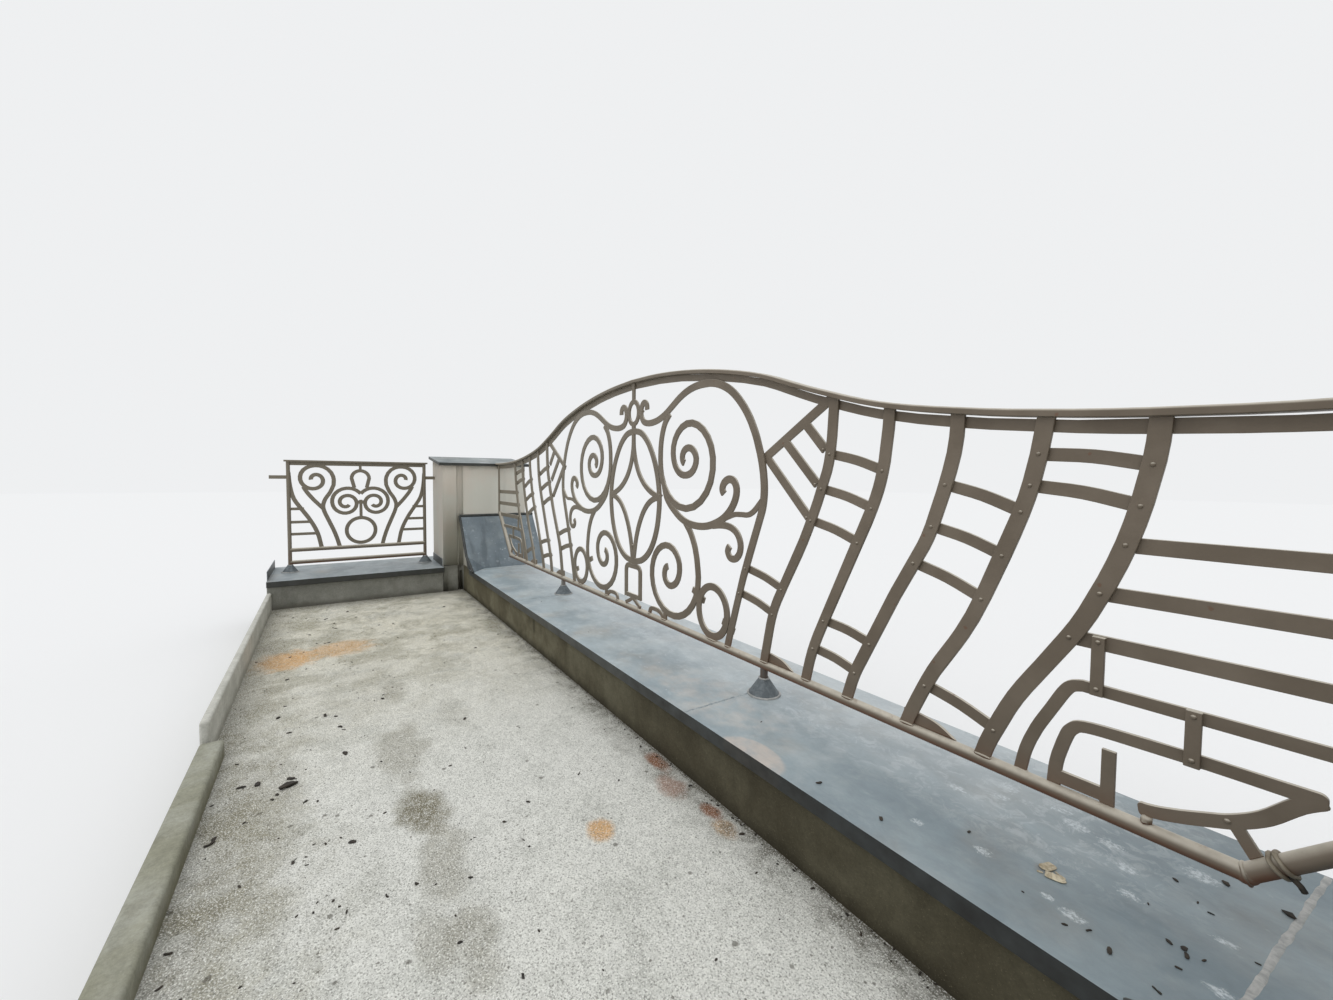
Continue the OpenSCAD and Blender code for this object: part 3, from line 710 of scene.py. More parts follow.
@dataclass(frozen=True)
class Screed:
    """Speckled grey-beige floor with dark grains, stains and rust marks.

    Attributes:
        stains: Middle, radii and strength of each olive stain.
        rusts: The same of each ochre mark of rust.
        reds: The same of each red-brown mark of rust.
    """

    tone: Colour = paint(216, 217, 211)
    warm: Colour = paint(210, 205, 184)
    grey: Colour = paint(180, 182, 175)
    grain: Colour = paint(84, 84, 77)
    glint: Colour = paint(246, 247, 242)
    olive: Colour = paint(104, 97, 70)
    moss: Colour = paint(145, 141, 119)
    pits: Colour = paint(74, 70, 60)
    dirt: Colour = paint(88, 84, 70)
    ochre: Colour = paint(206, 154, 80)
    red: Colour = paint(132, 72, 34)
    red_over: Colour = paint(150, 92, 52)
    stains: tuple[tuple[Point, Point, float], ...] = (
        ((-0.53, 0.345, FLOOR_Z), (0.12, 0.070, 0.1), 0.90),
        ((-0.73, 0.325, FLOOR_Z), (0.17, 0.060, 0.1), 0.46),
        ((-0.95, 0.380, FLOOR_Z), (0.10, 0.045, 0.1), 0.36),
        ((-1.00, 0.315, FLOOR_Z), (0.12, 0.055, 0.1), 0.46),
        ((-0.15, 0.350, FLOOR_Z), (0.24, 0.095, 0.1), 0.46),
        ((0.36, 0.330, FLOOR_Z), (0.15, 0.050, 0.1), 0.40),
        ((0.01, 0.165, FLOOR_Z), (0.16, 0.060, 0.1), 0.24),
        ((0.55, 0.420, FLOOR_Z), (0.45, 0.200, 0.1), 0.12),
        ((-0.35, 0.700, FLOOR_Z), (0.60, 0.110, 0.1), 0.34),
    )
    rusts: tuple[tuple[Point, Point, float], ...] = (
        ((1.02, 0.720, FLOOR_Z), (0.17, 0.140, 0.1), 0.90),
        ((1.09, 0.500, FLOOR_Z), (0.15, 0.170, 0.1), 0.65),
        ((-0.845, -0.015, FLOOR_Z), (0.046, 0.042, 0.1), 0.85),
        ((-1.007, -0.278, FLOOR_Z), (0.044, 0.030, 0.1), 0.60),
    )
    reds: tuple[tuple[Point, Point, float], ...] = (
        ((-0.66, -0.298, FLOOR_Z), (0.065, 0.030, 0.1), 0.90),
        ((-0.79, -0.265, FLOOR_Z), (0.070, 0.045, 0.1), 0.55),
        ((-0.94, -0.292, FLOOR_Z), (0.045, 0.025, 0.1), 0.85),
    )

    def material(self) -> bpy.types.Material:
        """The floor as a material.

        Returns:
            The material.
        """
        s = Shader("screed")
        cloud = s.noise(2.2, 5.0, 0.62, 0.4)
        colour = s.mix(s.x.rise(-0.6, 1.4) * (0.4 + cloud * 0.6), self.tone, self.warm)
        worn = s.noise(48.0, 4.0, 0.7)
        patchy = s.noise(7.0, 6.0, 0.72, 0.3).rise(0.46, 0.66) * (0.3 + worn.rise(0.35, 0.6) * 0.7)
        colour = s.mix(patchy * 0.6, colour, self.grey)
        wobble = (s.noise(10.0, 5.0, 0.62) - 0.5) * 0.12
        aged = s.x.rise(-0.4, 1.2).most((s.y + wobble * 2.0).rise(0.42, 0.80))
        mossy = s.noise(5.0, 6.0, 0.72, 0.3, s.moved((4, 2, 0))).rise(0.42, 0.62) * (0.3 + worn * 0.9)
        colour = s.mix(aged * mossy, colour, self.moss)
        for spots, tint in ((self.stains, self.olive), (self.rusts, self.ochre), (self.reds, self.red)):
            for centre, radii, strength in spots:
                ragged, grain, solid = (0.85, 12.0, 0.56) if tint == self.olive else (0.5, 24.0, 0.5)
                spot = s.blot(centre, radii, ragged, grain) * worn.rise(0.1, solid)
                colour = s.mix(spot * strength, colour, tint)
        grime = s.noise(11.0, 6.0, 0.72, 0.4).rise(0.44, 0.62)
        inner = (s.y + wobble).rise(-0.19, -0.33) * (0.30 + grime * 0.6)
        joint = (s.y + wobble * 0.12).rise(-0.308, -0.328) * 0.9
        far = (s.x + wobble).rise(1.98, 2.19) * 0.6
        wall = (s.y + wobble).rise(0.66, 0.87) * 0.55
        colour = s.mix(inner.most(joint).most(far).most(wall), colour, self.dirt)
        cloudy = s.noise(90.0, 4.0, 0.75) * 0.5 + s.noise(34.0, 5.0, 0.75) * 0.5
        colour = s.darken(colour, 0.39 + cloudy * 1.18)
        colour = s.mix(s.noise(240.0, 3.0, 0.75).rise(0.50, 0.62) * 0.65, colour, self.grain)
        colour = s.mix(s.noise(310.0, 3.0, 0.7, 0.0, s.moved((5, 3, 0))).rise(0.52, 0.62) * 0.7, colour, self.glint)
        pits = s.scatter(62.0, 0.20, 0.20).most(s.scatter(23.0, 0.20, 0.17, shift=3.0))
        colour = s.mix(pits * 0.65, colour, self.pits)
        for centre, radii, strength in self.reds:
            colour = s.mix(s.blot(centre, radii, 0.5, 24.0) * (strength * 0.4), colour, self.red_over)
        normal = s.bump(s.noise(260.0, 4.0, 0.75), 0.5, 0.0015)
        normal = s.bump(s.noise(4.0, 3.0), 0.2, 0.006, normal)
        return s.finish(colour, 0.9, normal, specular=0.2)


@dataclass(frozen=True)
class Mottled:
    """A plain mottled finish: lead, solder, lapped zinc, dark hems, painted wire or dry leaves."""

    name: str
    tone: Colour
    pale: Colour
    roughness: float = 0.6
    metallic: float = 0.1

    def material(self) -> bpy.types.Material:
        """The finish as a material.

        Returns:
            The material.
        """
        s = Shader(self.name)
        mottle = s.noise(48.0, 5.0, 0.65, 0.5)
        colour = s.mix(mottle.rise(0.35, 0.68), self.tone, self.pale)
        normal = s.bump(s.noise(85.0, 4.0, 0.6), 0.4, 0.002)
        return s.finish(colour, self.roughness + (mottle - 0.5) * 0.3, normal, metallic=self.metallic)


@dataclass(frozen=True)
class Finishes:
    """The materials of the whole balcony."""

    iron: bpy.types.Material
    leg_iron: bpy.types.Material
    zinc: bpy.types.Material
    front_zinc: bpy.types.Material
    slope_zinc: bpy.types.Material
    cap_zinc: bpy.types.Material
    cement: bpy.types.Material
    side_cement: bpy.types.Material
    skirting_cement: bpy.types.Material
    wall_cement: bpy.types.Material
    render: bpy.types.Material
    screed: bpy.types.Material
    lead: bpy.types.Material
    solder: bpy.types.Material
    lap: bpy.types.Material
    hem: bpy.types.Material
    wire: bpy.types.Material
    litter: bpy.types.Material
    leaf: bpy.types.Material

    @classmethod
    def made(cls) -> "Finishes":
        """Makes every material once.

        Returns:
            All of them.
        """
        return cls(
            iron=PaintedIron().material(),
            leg_iron=PaintedIron(
                "leg_iron", tone=paint(92, 92, 88), shade=paint(78, 78, 74), far=paint(140, 142, 138)
            ).material(),
            zinc=WeatheredZinc().material(),
            front_zinc=FrontZinc().material(),
            slope_zinc=SlopeZinc().material(),
            cap_zinc=WeatheredZinc(
                "cap_zinc", tone=paint(134, 143, 144), pale=paint(176, 182, 182), deep=paint(96, 106, 108)
            ).material(),
            cement=DirtyCement().material(),
            side_cement=DirtyCement(
                "side_cement",
                tone=paint(134, 135, 128),
                pale=paint(150, 150, 143),
                damp=paint(98, 96, 88),
                sand=paint(176, 175, 166),
                near_damp=0.0,
            ).material(),
            skirting_cement=DirtyCement(
                "skirting_cement",
                tone=paint(186, 186, 178),
                pale=paint(200, 200, 193),
                damp=paint(150, 148, 138),
                sand=paint(214, 214, 206),
                top_h=0.5,
                near_damp=0.0,
            ).material(),
            wall_cement=DirtyCement(
                "wall_cement",
                tone=paint(144, 144, 128),
                pale=paint(164, 165, 154),
                damp=paint(112, 108, 88),
                sand=paint(190, 190, 180),
                top_h=0.5,
                near_damp=0.0,
            ).material(),
            render=LimeRender().material(),
            screed=Screed().material(),
            lead=Mottled("lead", paint(84, 92, 96), paint(112, 120, 124)).material(),
            solder=Mottled("solder", paint(146, 148, 147), paint(186, 186, 183), roughness=0.55).material(),
            lap=Mottled("lapped_zinc", paint(120, 131, 136), paint(176, 184, 187), roughness=0.55).material(),
            # The hems are dark as painted shade of the rolled edges.
            hem=Mottled("shaded_hem", paint(44, 46, 44), paint(66, 69, 68), roughness=0.55).material(),
            wire=Mottled("painted_wire", paint(120, 110, 94), paint(150, 141, 124), metallic=0.0).material(),
            litter=Mottled(
                "dry_litter", paint(36, 33, 29), paint(62, 55, 46), roughness=0.8, metallic=0.0
            ).material(),
            leaf=Mottled(
                "dead_leaf", paint(146, 132, 106), paint(214, 205, 180), roughness=0.5, metallic=0.0
            ).material(),
        )


# Making pieces


def merged(node: str, joined: float = MERGE_DISTANCE, sliver: float = SLIVER, bend: float = 0.8) -> bmesh.types.BMesh:
    """A closed copy of a node's mesh, with its flat faces whole.

    Args:
        node: The node.
        joined: Points nearer to each other than this become one.
        sliver: Edges and faces narrower than this are taken away.
        bend: Faces that meet at fewer degrees become one.

    Returns:
        The mesh, in the part's frame.
    """
    bm = bmesh.new()
    bm.from_mesh(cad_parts[node].data)
    bmesh.ops.remove_doubles(bm, verts=bm.verts, dist=joined)
    bmesh.ops.dissolve_degenerate(bm, edges=bm.edges, dist=sliver)
    bmesh.ops.dissolve_limit(
        bm, angle_limit=math.radians(bend), use_dissolve_boundaries=False, verts=bm.verts, edges=bm.edges
    )
    bmesh.ops.recalc_face_normals(bm, faces=bm.faces)
    return bm


def round_edges(bm: bmesh.types.BMesh, width: float, segments: int = 2, chosen: EdgeTest | None = None) -> None:
    """Rounds the sharp edges of a mesh, and pulls back each point that the rounding throws off the old surface.

    Args:
        bm: The mesh.
        width: Width of the rounding.
        segments: Faces across it.
        chosen: Says which of the sharp edges are rounded; all are without it.
    """
    before = BVHTree.FromBMesh(bm)
    sharp = [
        e
        for e in bm.edges
        if len(e.link_faces) == 2 and e.calc_face_angle(0.0) > ROUNDED and (chosen is None or chosen(e))
    ]
    bmesh.ops.bevel(
        bm,
        geom=sharp,
        offset=width,
        offset_type="OFFSET",
        segments=segments,
        profile=0.5,
        affect="EDGES",
        clamp_overlap=False,
        material=-1,
    )
    for v in bm.verts:
        nearest, _, _, distance = before.find_nearest(v.co)
        if distance > width * STRAY:
            v.co = nearest


def thin(bm: bmesh.types.BMesh, axis: int, depth: float) -> None:
    """Sets the broad faces of flat bars back, so that they don't lie in one plane with another node's.

    Args:
        bm: The bars' mesh.
        axis: The axis that the broad faces look along.
        depth: How far they are set back.
    """
    moves = {v: f.normal[axis] for f in bm.faces if abs(f.normal[axis]) > 0.99 for v in f.verts}
    for v, way in moves.items():
        v.co[axis] -= math.copysign(depth, way)


def piece(
    name: str,
    bm: bmesh.types.BMesh,
    materials: Sequence[bpy.types.Material],
    stands_for: Sequence[str] = (),
) -> None:
    """Makes a finished piece of a mesh, smooth, with its broad faces kept flat.

    Args:
        name: The piece's name.
        bm: Its mesh, in the part's frame. It is freed.
        materials: Materials by face index.
        stands_for: The nodes that the piece replaces.
    """
    for face in bm.faces:
        face.smooth = True
    mesh = bpy.data.meshes.new(name)
    bm.to_mesh(mesh)
    bm.free()
    mesh.set_sharp_from_angle(angle=CREASED)
    for material in materials:
        mesh.materials.append(material)
    made = bpy.data.objects.new(name, mesh)
    bpy.context.scene.collection.objects.link(made)
    by_area = made.modifiers.new("broad faces flat", "WEIGHTED_NORMAL")
    by_area.mode = "FACE_AREA"
    by_area.weight = 80
    by_area.keep_sharp = True
    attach(made, BODY)
    if stands_for:
        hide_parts(*stands_for)
    log.info("%s: %d faces, for %s", name, len(mesh.polygons), ", ".join(stands_for) or "nothing else")


def join(bm: bmesh.types.BMesh, part: bmesh.types.BMesh) -> None:
    """Adds a mesh to another one and frees it.

    Args:
        bm: The mesh that grows.
        part: The mesh that is added.
    """
    mesh = bpy.data.meshes.new("part")
    part.to_mesh(mesh)
    part.free()
    bm.from_mesh(mesh)
    bpy.data.meshes.remove(mesh)


def blob(
    bm: bmesh.types.BMesh,
    centre: Vector,
    size: Vector,
    seed: float,
    turn: float = 0.0,
    cuts: int = 2,
    rough: float = 0.2,
) -> None:
    """Adds a lumpy rounded block, such as a bead of weld or a crumb.

    Args:
        bm: The mesh it is added to.
        centre: Its middle.
        size: Its full size.
        seed: Shifts the lumps.
        turn: Turns it about the vertical.
        cuts: Cuts across each side of the block.
        rough: Depth of the lumps as a share of the height.
    """
    part = bmesh.new()
    bmesh.ops.create_cube(part, size=1.0)
    bmesh.ops.subdivide_edges(part, edges=part.edges, cuts=cuts, use_grid_fill=True)
    turned = Matrix.Rotation(turn, 3, "Z")
    for v in part.verts:
        share = 1.0 - 0.14 * sum(abs(side * 2) ** 4 for side in v.co)
        v.co = Vector((v.co.x * size.x, v.co.y * size.y, v.co.z * size.z)) * share
        lump = noise.noise((v.co + Vector((seed, seed * 0.7, 0))) * 160.0)
        v.co = turned @ (v.co + v.co.normalized() * lump * rough * size.z) + centre
    join(bm, part)


def dome(bm: bmesh.types.BMesh, centre: Vector, out: Vector, radius: float, height: float) -> None:
    """Adds a rivet head that stands out from a face.

    Args:
        bm: The mesh it is added to.
        centre: Its middle on the face.
        out: Direction away from the face.
        radius: Radius of its rim.
        height: How far it stands out.
    """
    new = bmesh.ops.create_uvsphere(bm, u_segments=10, v_segments=6, radius=1.0)["verts"]
    turn = UP.rotation_difference(out).to_matrix().to_4x4()
    place = Matrix.Translation(centre) @ turn @ Matrix.Diagonal((radius, radius, height, 1.0))
    bmesh.ops.transform(bm, matrix=place, verts=new)


def ring(
    bm: bmesh.types.BMesh, centre: Vector, axis: Vector, radius: float, thick: float, seed: float, steps: int = 28
) -> None:
    """Adds a slightly lumpy ring, such as solder around a cone.

    Args:
        bm: The mesh it is added to.
        centre: Its middle.
        axis: Direction through its hole.
        radius: From the middle to the middle of its thickness.
        thick: Half its thickness.
        seed: Shifts the lumps.
        steps: Steps around it.
    """
    part = bmesh.new()
    circle = bmesh.ops.create_circle(part, cap_ends=False, segments=ROD_SIDES, radius=thick)["verts"]
    stand = Matrix.Translation((radius, 0, 0)) @ Matrix.Rotation(math.pi / 2, 4, "X")
    bmesh.ops.transform(part, matrix=stand, verts=circle)
    bmesh.ops.spin(part, geom=part.edges[:], axis=UP, angle=math.tau, steps=steps, use_merge=True)
    bmesh.ops.recalc_face_normals(part, faces=part.faces)
    turned = UP.rotation_difference(axis).to_matrix()
    for v in part.verts:
        out = Vector((v.co.x, v.co.y, 0)).normalized()
        lump = noise.noise((v.co + Vector((seed, 0, seed))) * 90.0)
        v.co = turned @ (v.co + out * lump * thick * 0.7) + centre
    join(bm, part)


def sweep(bm: bmesh.types.BMesh, path: Sequence[Vector], radius: float) -> None:
    """Adds a round rod along a path, closed at both ends.

    Args:
        bm: The mesh it is added to.
        path: Its middle line.
        radius: Half its thickness.
    """
    first = (path[1] - path[0]).normalized()
    turn = UP.rotation_difference(first).to_matrix().to_4x4()
    loop = bmesh.ops.create_circle(bm, cap_ends=True, segments=ROD_SIDES, radius=radius)["verts"]
    bmesh.ops.transform(bm, matrix=Matrix.Translation(path[0]) @ turn, verts=loop)
    end = next(f for f in bm.faces if set(f.verts) == set(loop))
    for i in range(1, len(path)):
        grown = bmesh.ops.extrude_face_region(bm, geom=[end])["geom"]
        verts = [g for g in grown if isinstance(g, bmesh.types.BMVert)]
        step = path[i] - path[i - 1]
        bmesh.ops.translate(bm, vec=step, verts=verts)
        if i < len(path) - 1:
            bend = step.normalized().rotation_difference((path[i + 1] - path[i]).normalized())
            bmesh.ops.rotate(bm, cent=path[i], matrix=bend.to_matrix(), verts=verts)
        if i > 1:
            bm.faces.remove(end)
        end = next(g for g in grown if isinstance(g, bmesh.types.BMFace))
    bmesh.ops.recalc_face_normals(bm, faces=bm.faces)


def cut(bm: bmesh.types.BMesh, co: Point, no: Point, clear: bool = False) -> None:
    """Cuts a mesh along a plane, and takes away what lies outside where asked."""
    parts = [*bm.verts, *bm.edges, *bm.faces]
    bmesh.ops.bisect_plane(bm, geom=parts, plane_co=co, plane_no=no, clear_outer=clear)


# Masonry


@dataclass
class Masonry:
    """The floor, parapets, piers, skirting and step.

    Attributes:
        finishes: The balcony's materials.
        edge: Rounding of most worn edges.
        skirting_edge: That of the skirting.
        step_edge: That of the door step.
        foot_top_h: Top of the cement on a pier's foot and on the front parapet.
        shoulder_margin: How far above it the parapet's render starts.
        foot_proud: How far a pier's cement foot stands out from the render.
        foot_depth: Points this near to the foot's inner faces move out with them.
        foot_edge: Rounding of the foot's top.
        foot_end_s: Where the foot ends along the balcony.
        foot_end_y: Where it ends towards the street.
    """

    finishes: Finishes
    edge: float = 0.006
    skirting_edge: float = 0.008
    step_edge: float = 0.010
    foot_top_h: float = 0.197
    shoulder_margin: float = 0.004
    foot_proud: float = 0.004
    foot_depth: float = 0.015
    foot_edge: float = 0.003
    foot_end_s: float = 2.29
    foot_end_y: float = -0.40

    def build(self) -> None:
        """Carries over the masonry nodes and adds the cement foot of each pier."""
        self.slab()
        self.parapet()
        for side in Side:
            self.block(f"{side.word}_side_parapet", self.finishes.side_cement)
            self.block(f"{side.word}_pier", self.finishes.render)
            self.pier_foot(side)
        self.block("wall_skirting", self.finishes.skirting_cement, self.skirting_edge)
        self.block("door_step", self.finishes.wall_cement, self.step_edge)

    def block(self, node: str, material: bpy.types.Material, edge: float | None = None) -> None:
        """Carries over a node of masonry with worn edges.

        Args:
            node: The node.
            material: Its material.
            edge: Rounding of its edges; the usual one without it.
        """
        bm = merged(node)
        round_edges(bm, edge or self.edge, 3, lambda e: any(abs(v.co.z - FLOOR_Z) > CLOSE for v in e.verts))
        piece(f"{node}_coat", bm, [material], [node])

    def slab(self) -> None:
        """The floor's top is screed, its other faces are cement."""
        bm = merged("floor_slab")
        round_edges(bm, self.edge, 2, lambda e: any(v.co.z < FLOOR_Z / 2 for v in e.verts))
        for face in bm.faces:
            face.material_index = 0 if face.normal.z > 0.9 else 1
        materials = [self.finishes.screed, self.finishes.wall_cement]
        piece("floor_slab_coat", bm, materials, ["floor_slab"])

    def parapet(self) -> None:
        """The front parapet: cement, with render on the shoulders above the capping's level."""
        bm = merged("front_parapet")
        level = FLOOR_Z + self.foot_top_h
        cut(bm, (0, 0, level), (0, 0, 1))
        for face in bm.faces:
            face.material_index = 1 if face.calc_center_median().z > level + self.shoulder_margin else 0
        materials = [self.finishes.cement, self.finishes.render]
        piece("front_parapet_coat", bm, materials, ["front_parapet"])

    def pier_foot(self, side: Side) -> None:
        """A cement foot round the inner corner of a pier, a little proud of the render.

        Args:
            side: The half of the balcony.
        """
        bm = merged(f"{side.word}_pier")
        level = FLOOR_Z + self.foot_top_h
        cut(bm, (0, 0, level), (0, 0, 1), True)
        cut(bm, (side.value * self.foot_end_s, 0, 0), (side.value, 0, 0), True)
        cut(bm, (0, self.foot_end_y, 0), (0, -1, 0), True)
        bmesh.ops.holes_fill(bm, edges=[e for e in bm.edges if e.is_boundary], sides=0)
        bmesh.ops.recalc_face_normals(bm, faces=bm.faces)
        inner_s = min(abs(v.co.x) for v in bm.verts)
        inner_y = max(v.co.y for v in bm.verts)
        for v in bm.verts:
            if abs(v.co.x) < inner_s + self.foot_depth:
                v.co.x -= side.value * self.foot_proud
            if v.co.y > inner_y - self.foot_depth:
                v.co.y += self.foot_proud
        round_edges(bm, self.foot_edge, 2, lambda e: min(v.co.z for v in e.verts) > level - CLOSE)
        piece(f"{side.word}_pier_foot", bm, [self.finishes.side_cement])


# Zinc coverings


@dataclass
class Coverings:
    """The folded zinc on the parapets and piers, with its solder seams and hems.

    Attributes:
        finishes: The balcony's materials.
        edge: Rounding of a bend.
        shortest_bend: Edges shorter than this stay as they are.
        seam: Distance and Y of both ends of the solder at the foot of a slope.
        seam_w: Its width.
        leg_seam: The same two ends of the lap at a leg.
        leg_seam_w: Its width.
        strip_rise: How far solder and lap stand up from the sheet.
        strip_sunk: How far their edges go into it.
        gusset_tip_s: Distance of the slope's foot.
        gusset_head_s: Distance of the slope's bend.
        gusset_head_z: Height of that bend in the part's frame.
        inner_hem_r: Radius of the hem along the slope's inner edge.
        inner_hem_inset: How far its middle lies inside the sheet's edges.
        top_hem_r: Radius of the hem along the slope's top.
        top_hem_inset: How far its middle lies inside the sheet's edges.
        cone_foot: How far the lower ring of solder on a cone is above the foot and inside the edge.
        foot_ring_t: Half the thickness of the lower ring.
        head_ring_r: Radius of the upper ring.
        head_ring_t: Half its thickness.
    """

    finishes: Finishes
    edge: float = 0.0014
    shortest_bend: float = 0.02
    seam: tuple[Place, Place] = ((1.840, FOLD_INNER_Y - 0.002), (1.886, FOLD_OUTER_Y + 0.004))
    seam_w: float = 0.011
    leg_seam: tuple[Place, Place] = ((0.79, FOLD_INNER_Y - 0.003), (0.79, -0.556))
    leg_seam_w: float = 0.010
    strip_rise: float = 0.0013
    strip_sunk: float = 0.0004
    gusset_tip_s: float = 1.768
    gusset_head_s: float = 1.979
    gusset_head_z: float = 0.470
    inner_hem_r: float = 0.0095
    inner_hem_inset: float = 0.003
    top_hem_r: float = 0.0115
    top_hem_inset: float = 0.004
    cone_foot: Place = (0.002, 0.001)
    foot_ring_t: float = 0.0035
    head_ring_r: float = 0.0145
    head_ring_t: float = 0.0032

    def build(self) -> None:
        """Carries over the coverings and adds what is soldered to them."""
        self.sheet("front_capping", self.finishes.front_zinc)
        for side in Side:
            self.sheet(f"{side.word}_side_capping", self.finishes.zinc)
            self.sheet(f"{side.word}_slope_flashing", self.finishes.slope_zinc)
            self.sheet(f"{side.word}_pier_cap", self.finishes.cap_zinc)
            self.seams(side)
            self.hems(side)
        for node in ("leg_collars", "far_post_collars", "near_post_collars"):
            self.collars(node)

    def sheet(self, node: str, material: bpy.types.Material) -> None:
        """Carries over a covering with bent, not cut, edges.

        Args:
            node: The node.
            material: Its material.
        """
        bm = merged(node)
        round_edges(bm, self.edge, 2, lambda e: e.calc_length() > self.shortest_bend)
        piece(f"{node}_sheet", bm, [material], [node])

    def seams(self, side: Side) -> None:
        """The line of solder at the foot of the slope, and the lap at the leg.

        Args:
            side: The half of the balcony.
        """
        for name, ends, width, seed, material in (
            ("solder_seam", self.seam, self.seam_w, 3.1, self.finishes.solder),
            ("leg_seam", self.leg_seam, self.leg_seam_w, 7.7, self.finishes.lap),
        ):
            bm = bmesh.new()
            start, end = (Vector((side.value * s, y, CAPPING_Z)) for s, y in ends)
            self.strip(bm, start, end, width, seed + side.value)
            piece(f"{side.word}_{name}", bm, [material])

    def strip(self, bm: bmesh.types.BMesh, start: Vector, end: Vector, width: float, seed: float) -> None:
        """Adds an uneven raised strip from one edge of the capping towards the other.

        Args:
            bm: The mesh it is added to.
            start: Middle of its one end.
            end: Middle of its other end.
            width: Its width.
            seed: Shifts its unevenness.
        """
        for v in bmesh.ops.create_grid(bm, x_segments=6, y_segments=70, size=0.5)["verts"]:
            across, along = v.co.x * 2, v.co.y + 0.5
            wander = noise.noise(Vector((seed, along * 5.0, 0))) * width * 0.3
            spread = width / 2 * (1 + 0.5 * noise.noise(Vector((along * 22.0, seed, 0))))
            lump = noise.noise(Vector((along * 60.0, across * 2, seed)))
            lift = self.strip_rise * (1 - abs(across) ** 2.5) * (1 + 0.7 * lump)
            v.co = start.lerp(end, along) + Vector((wander + across * spread, 0, lift - self.strip_sunk))
        bmesh.ops.recalc_face_normals(bm, faces=bm.faces)
        if sum(f.normal.z for f in bm.faces) < 0:
            bmesh.ops.reverse_faces(bm, faces=bm.faces)

    def hems(self, side: Side) -> None:
        """The thick hems along the inner and top edges of the sloped covering, coloured dark as painted shade.

        Args:
            side: The half of the balcony.
        """
        low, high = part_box(f"{side.word}_slope_flashing")
        head_s = max(abs(low.x), abs(high.x))
        head_z = high.z - self.inner_hem_inset
        inner = (
            (self.gusset_tip_s, CAPPING_Z),
            (self.gusset_head_s, self.gusset_head_z),
            (head_s - self.inner_hem_inset, head_z),
        )
        inner_y = FOLD_INNER_Y + self.inner_hem_inset
        bm = bmesh.new()
        sweep(bm, [Vector((side.value * s, inner_y, z)) for s, z in inner], self.inner_hem_r)
        top = (FOLD_INNER_Y + self.top_hem_inset, RAIL_Y, FOLD_OUTER_Y)
        top_x = side.value * (head_s - self.top_hem_inset)
        sweep(bm, [Vector((top_x, y, head_z)) for y in top], self.top_hem_r)
        piece(f"{side.word}_slope_hems", bm, [self.finishes.hem])

    def collars(self, node: str) -> None:
        """Cones of lead with a ring of solder at the foot and a paler one at the top.

        Args:
            node: The node of the cones.
        """
        bm = merged(node)
        low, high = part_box(node)
        across = 0 if node == "leg_collars" else 1
        piece(f"{node}_lead", bm, [self.finishes.lead], [node])
        half = (high - low)[1 - across] / 2
        middle = (low + high) / 2
        above, inside = self.cone_foot
        bm = bmesh.new()
        for end in (-1, 1):
            centre = Vector((middle.x, middle.y, low.z + above))
            centre[across] += end * ((high - low)[across] / 2 - half)
            ring(bm, centre, UP, half - inside, self.foot_ring_t, seed=2.0 * end, steps=36)
            head = Vector((centre.x, centre.y, high.z))
            ring(bm, head, UP, self.head_ring_r, self.head_ring_t, seed=5.0 * end, steps=20)
        piece(f"{node}_solder", bm, [self.finishes.solder])


# Iron


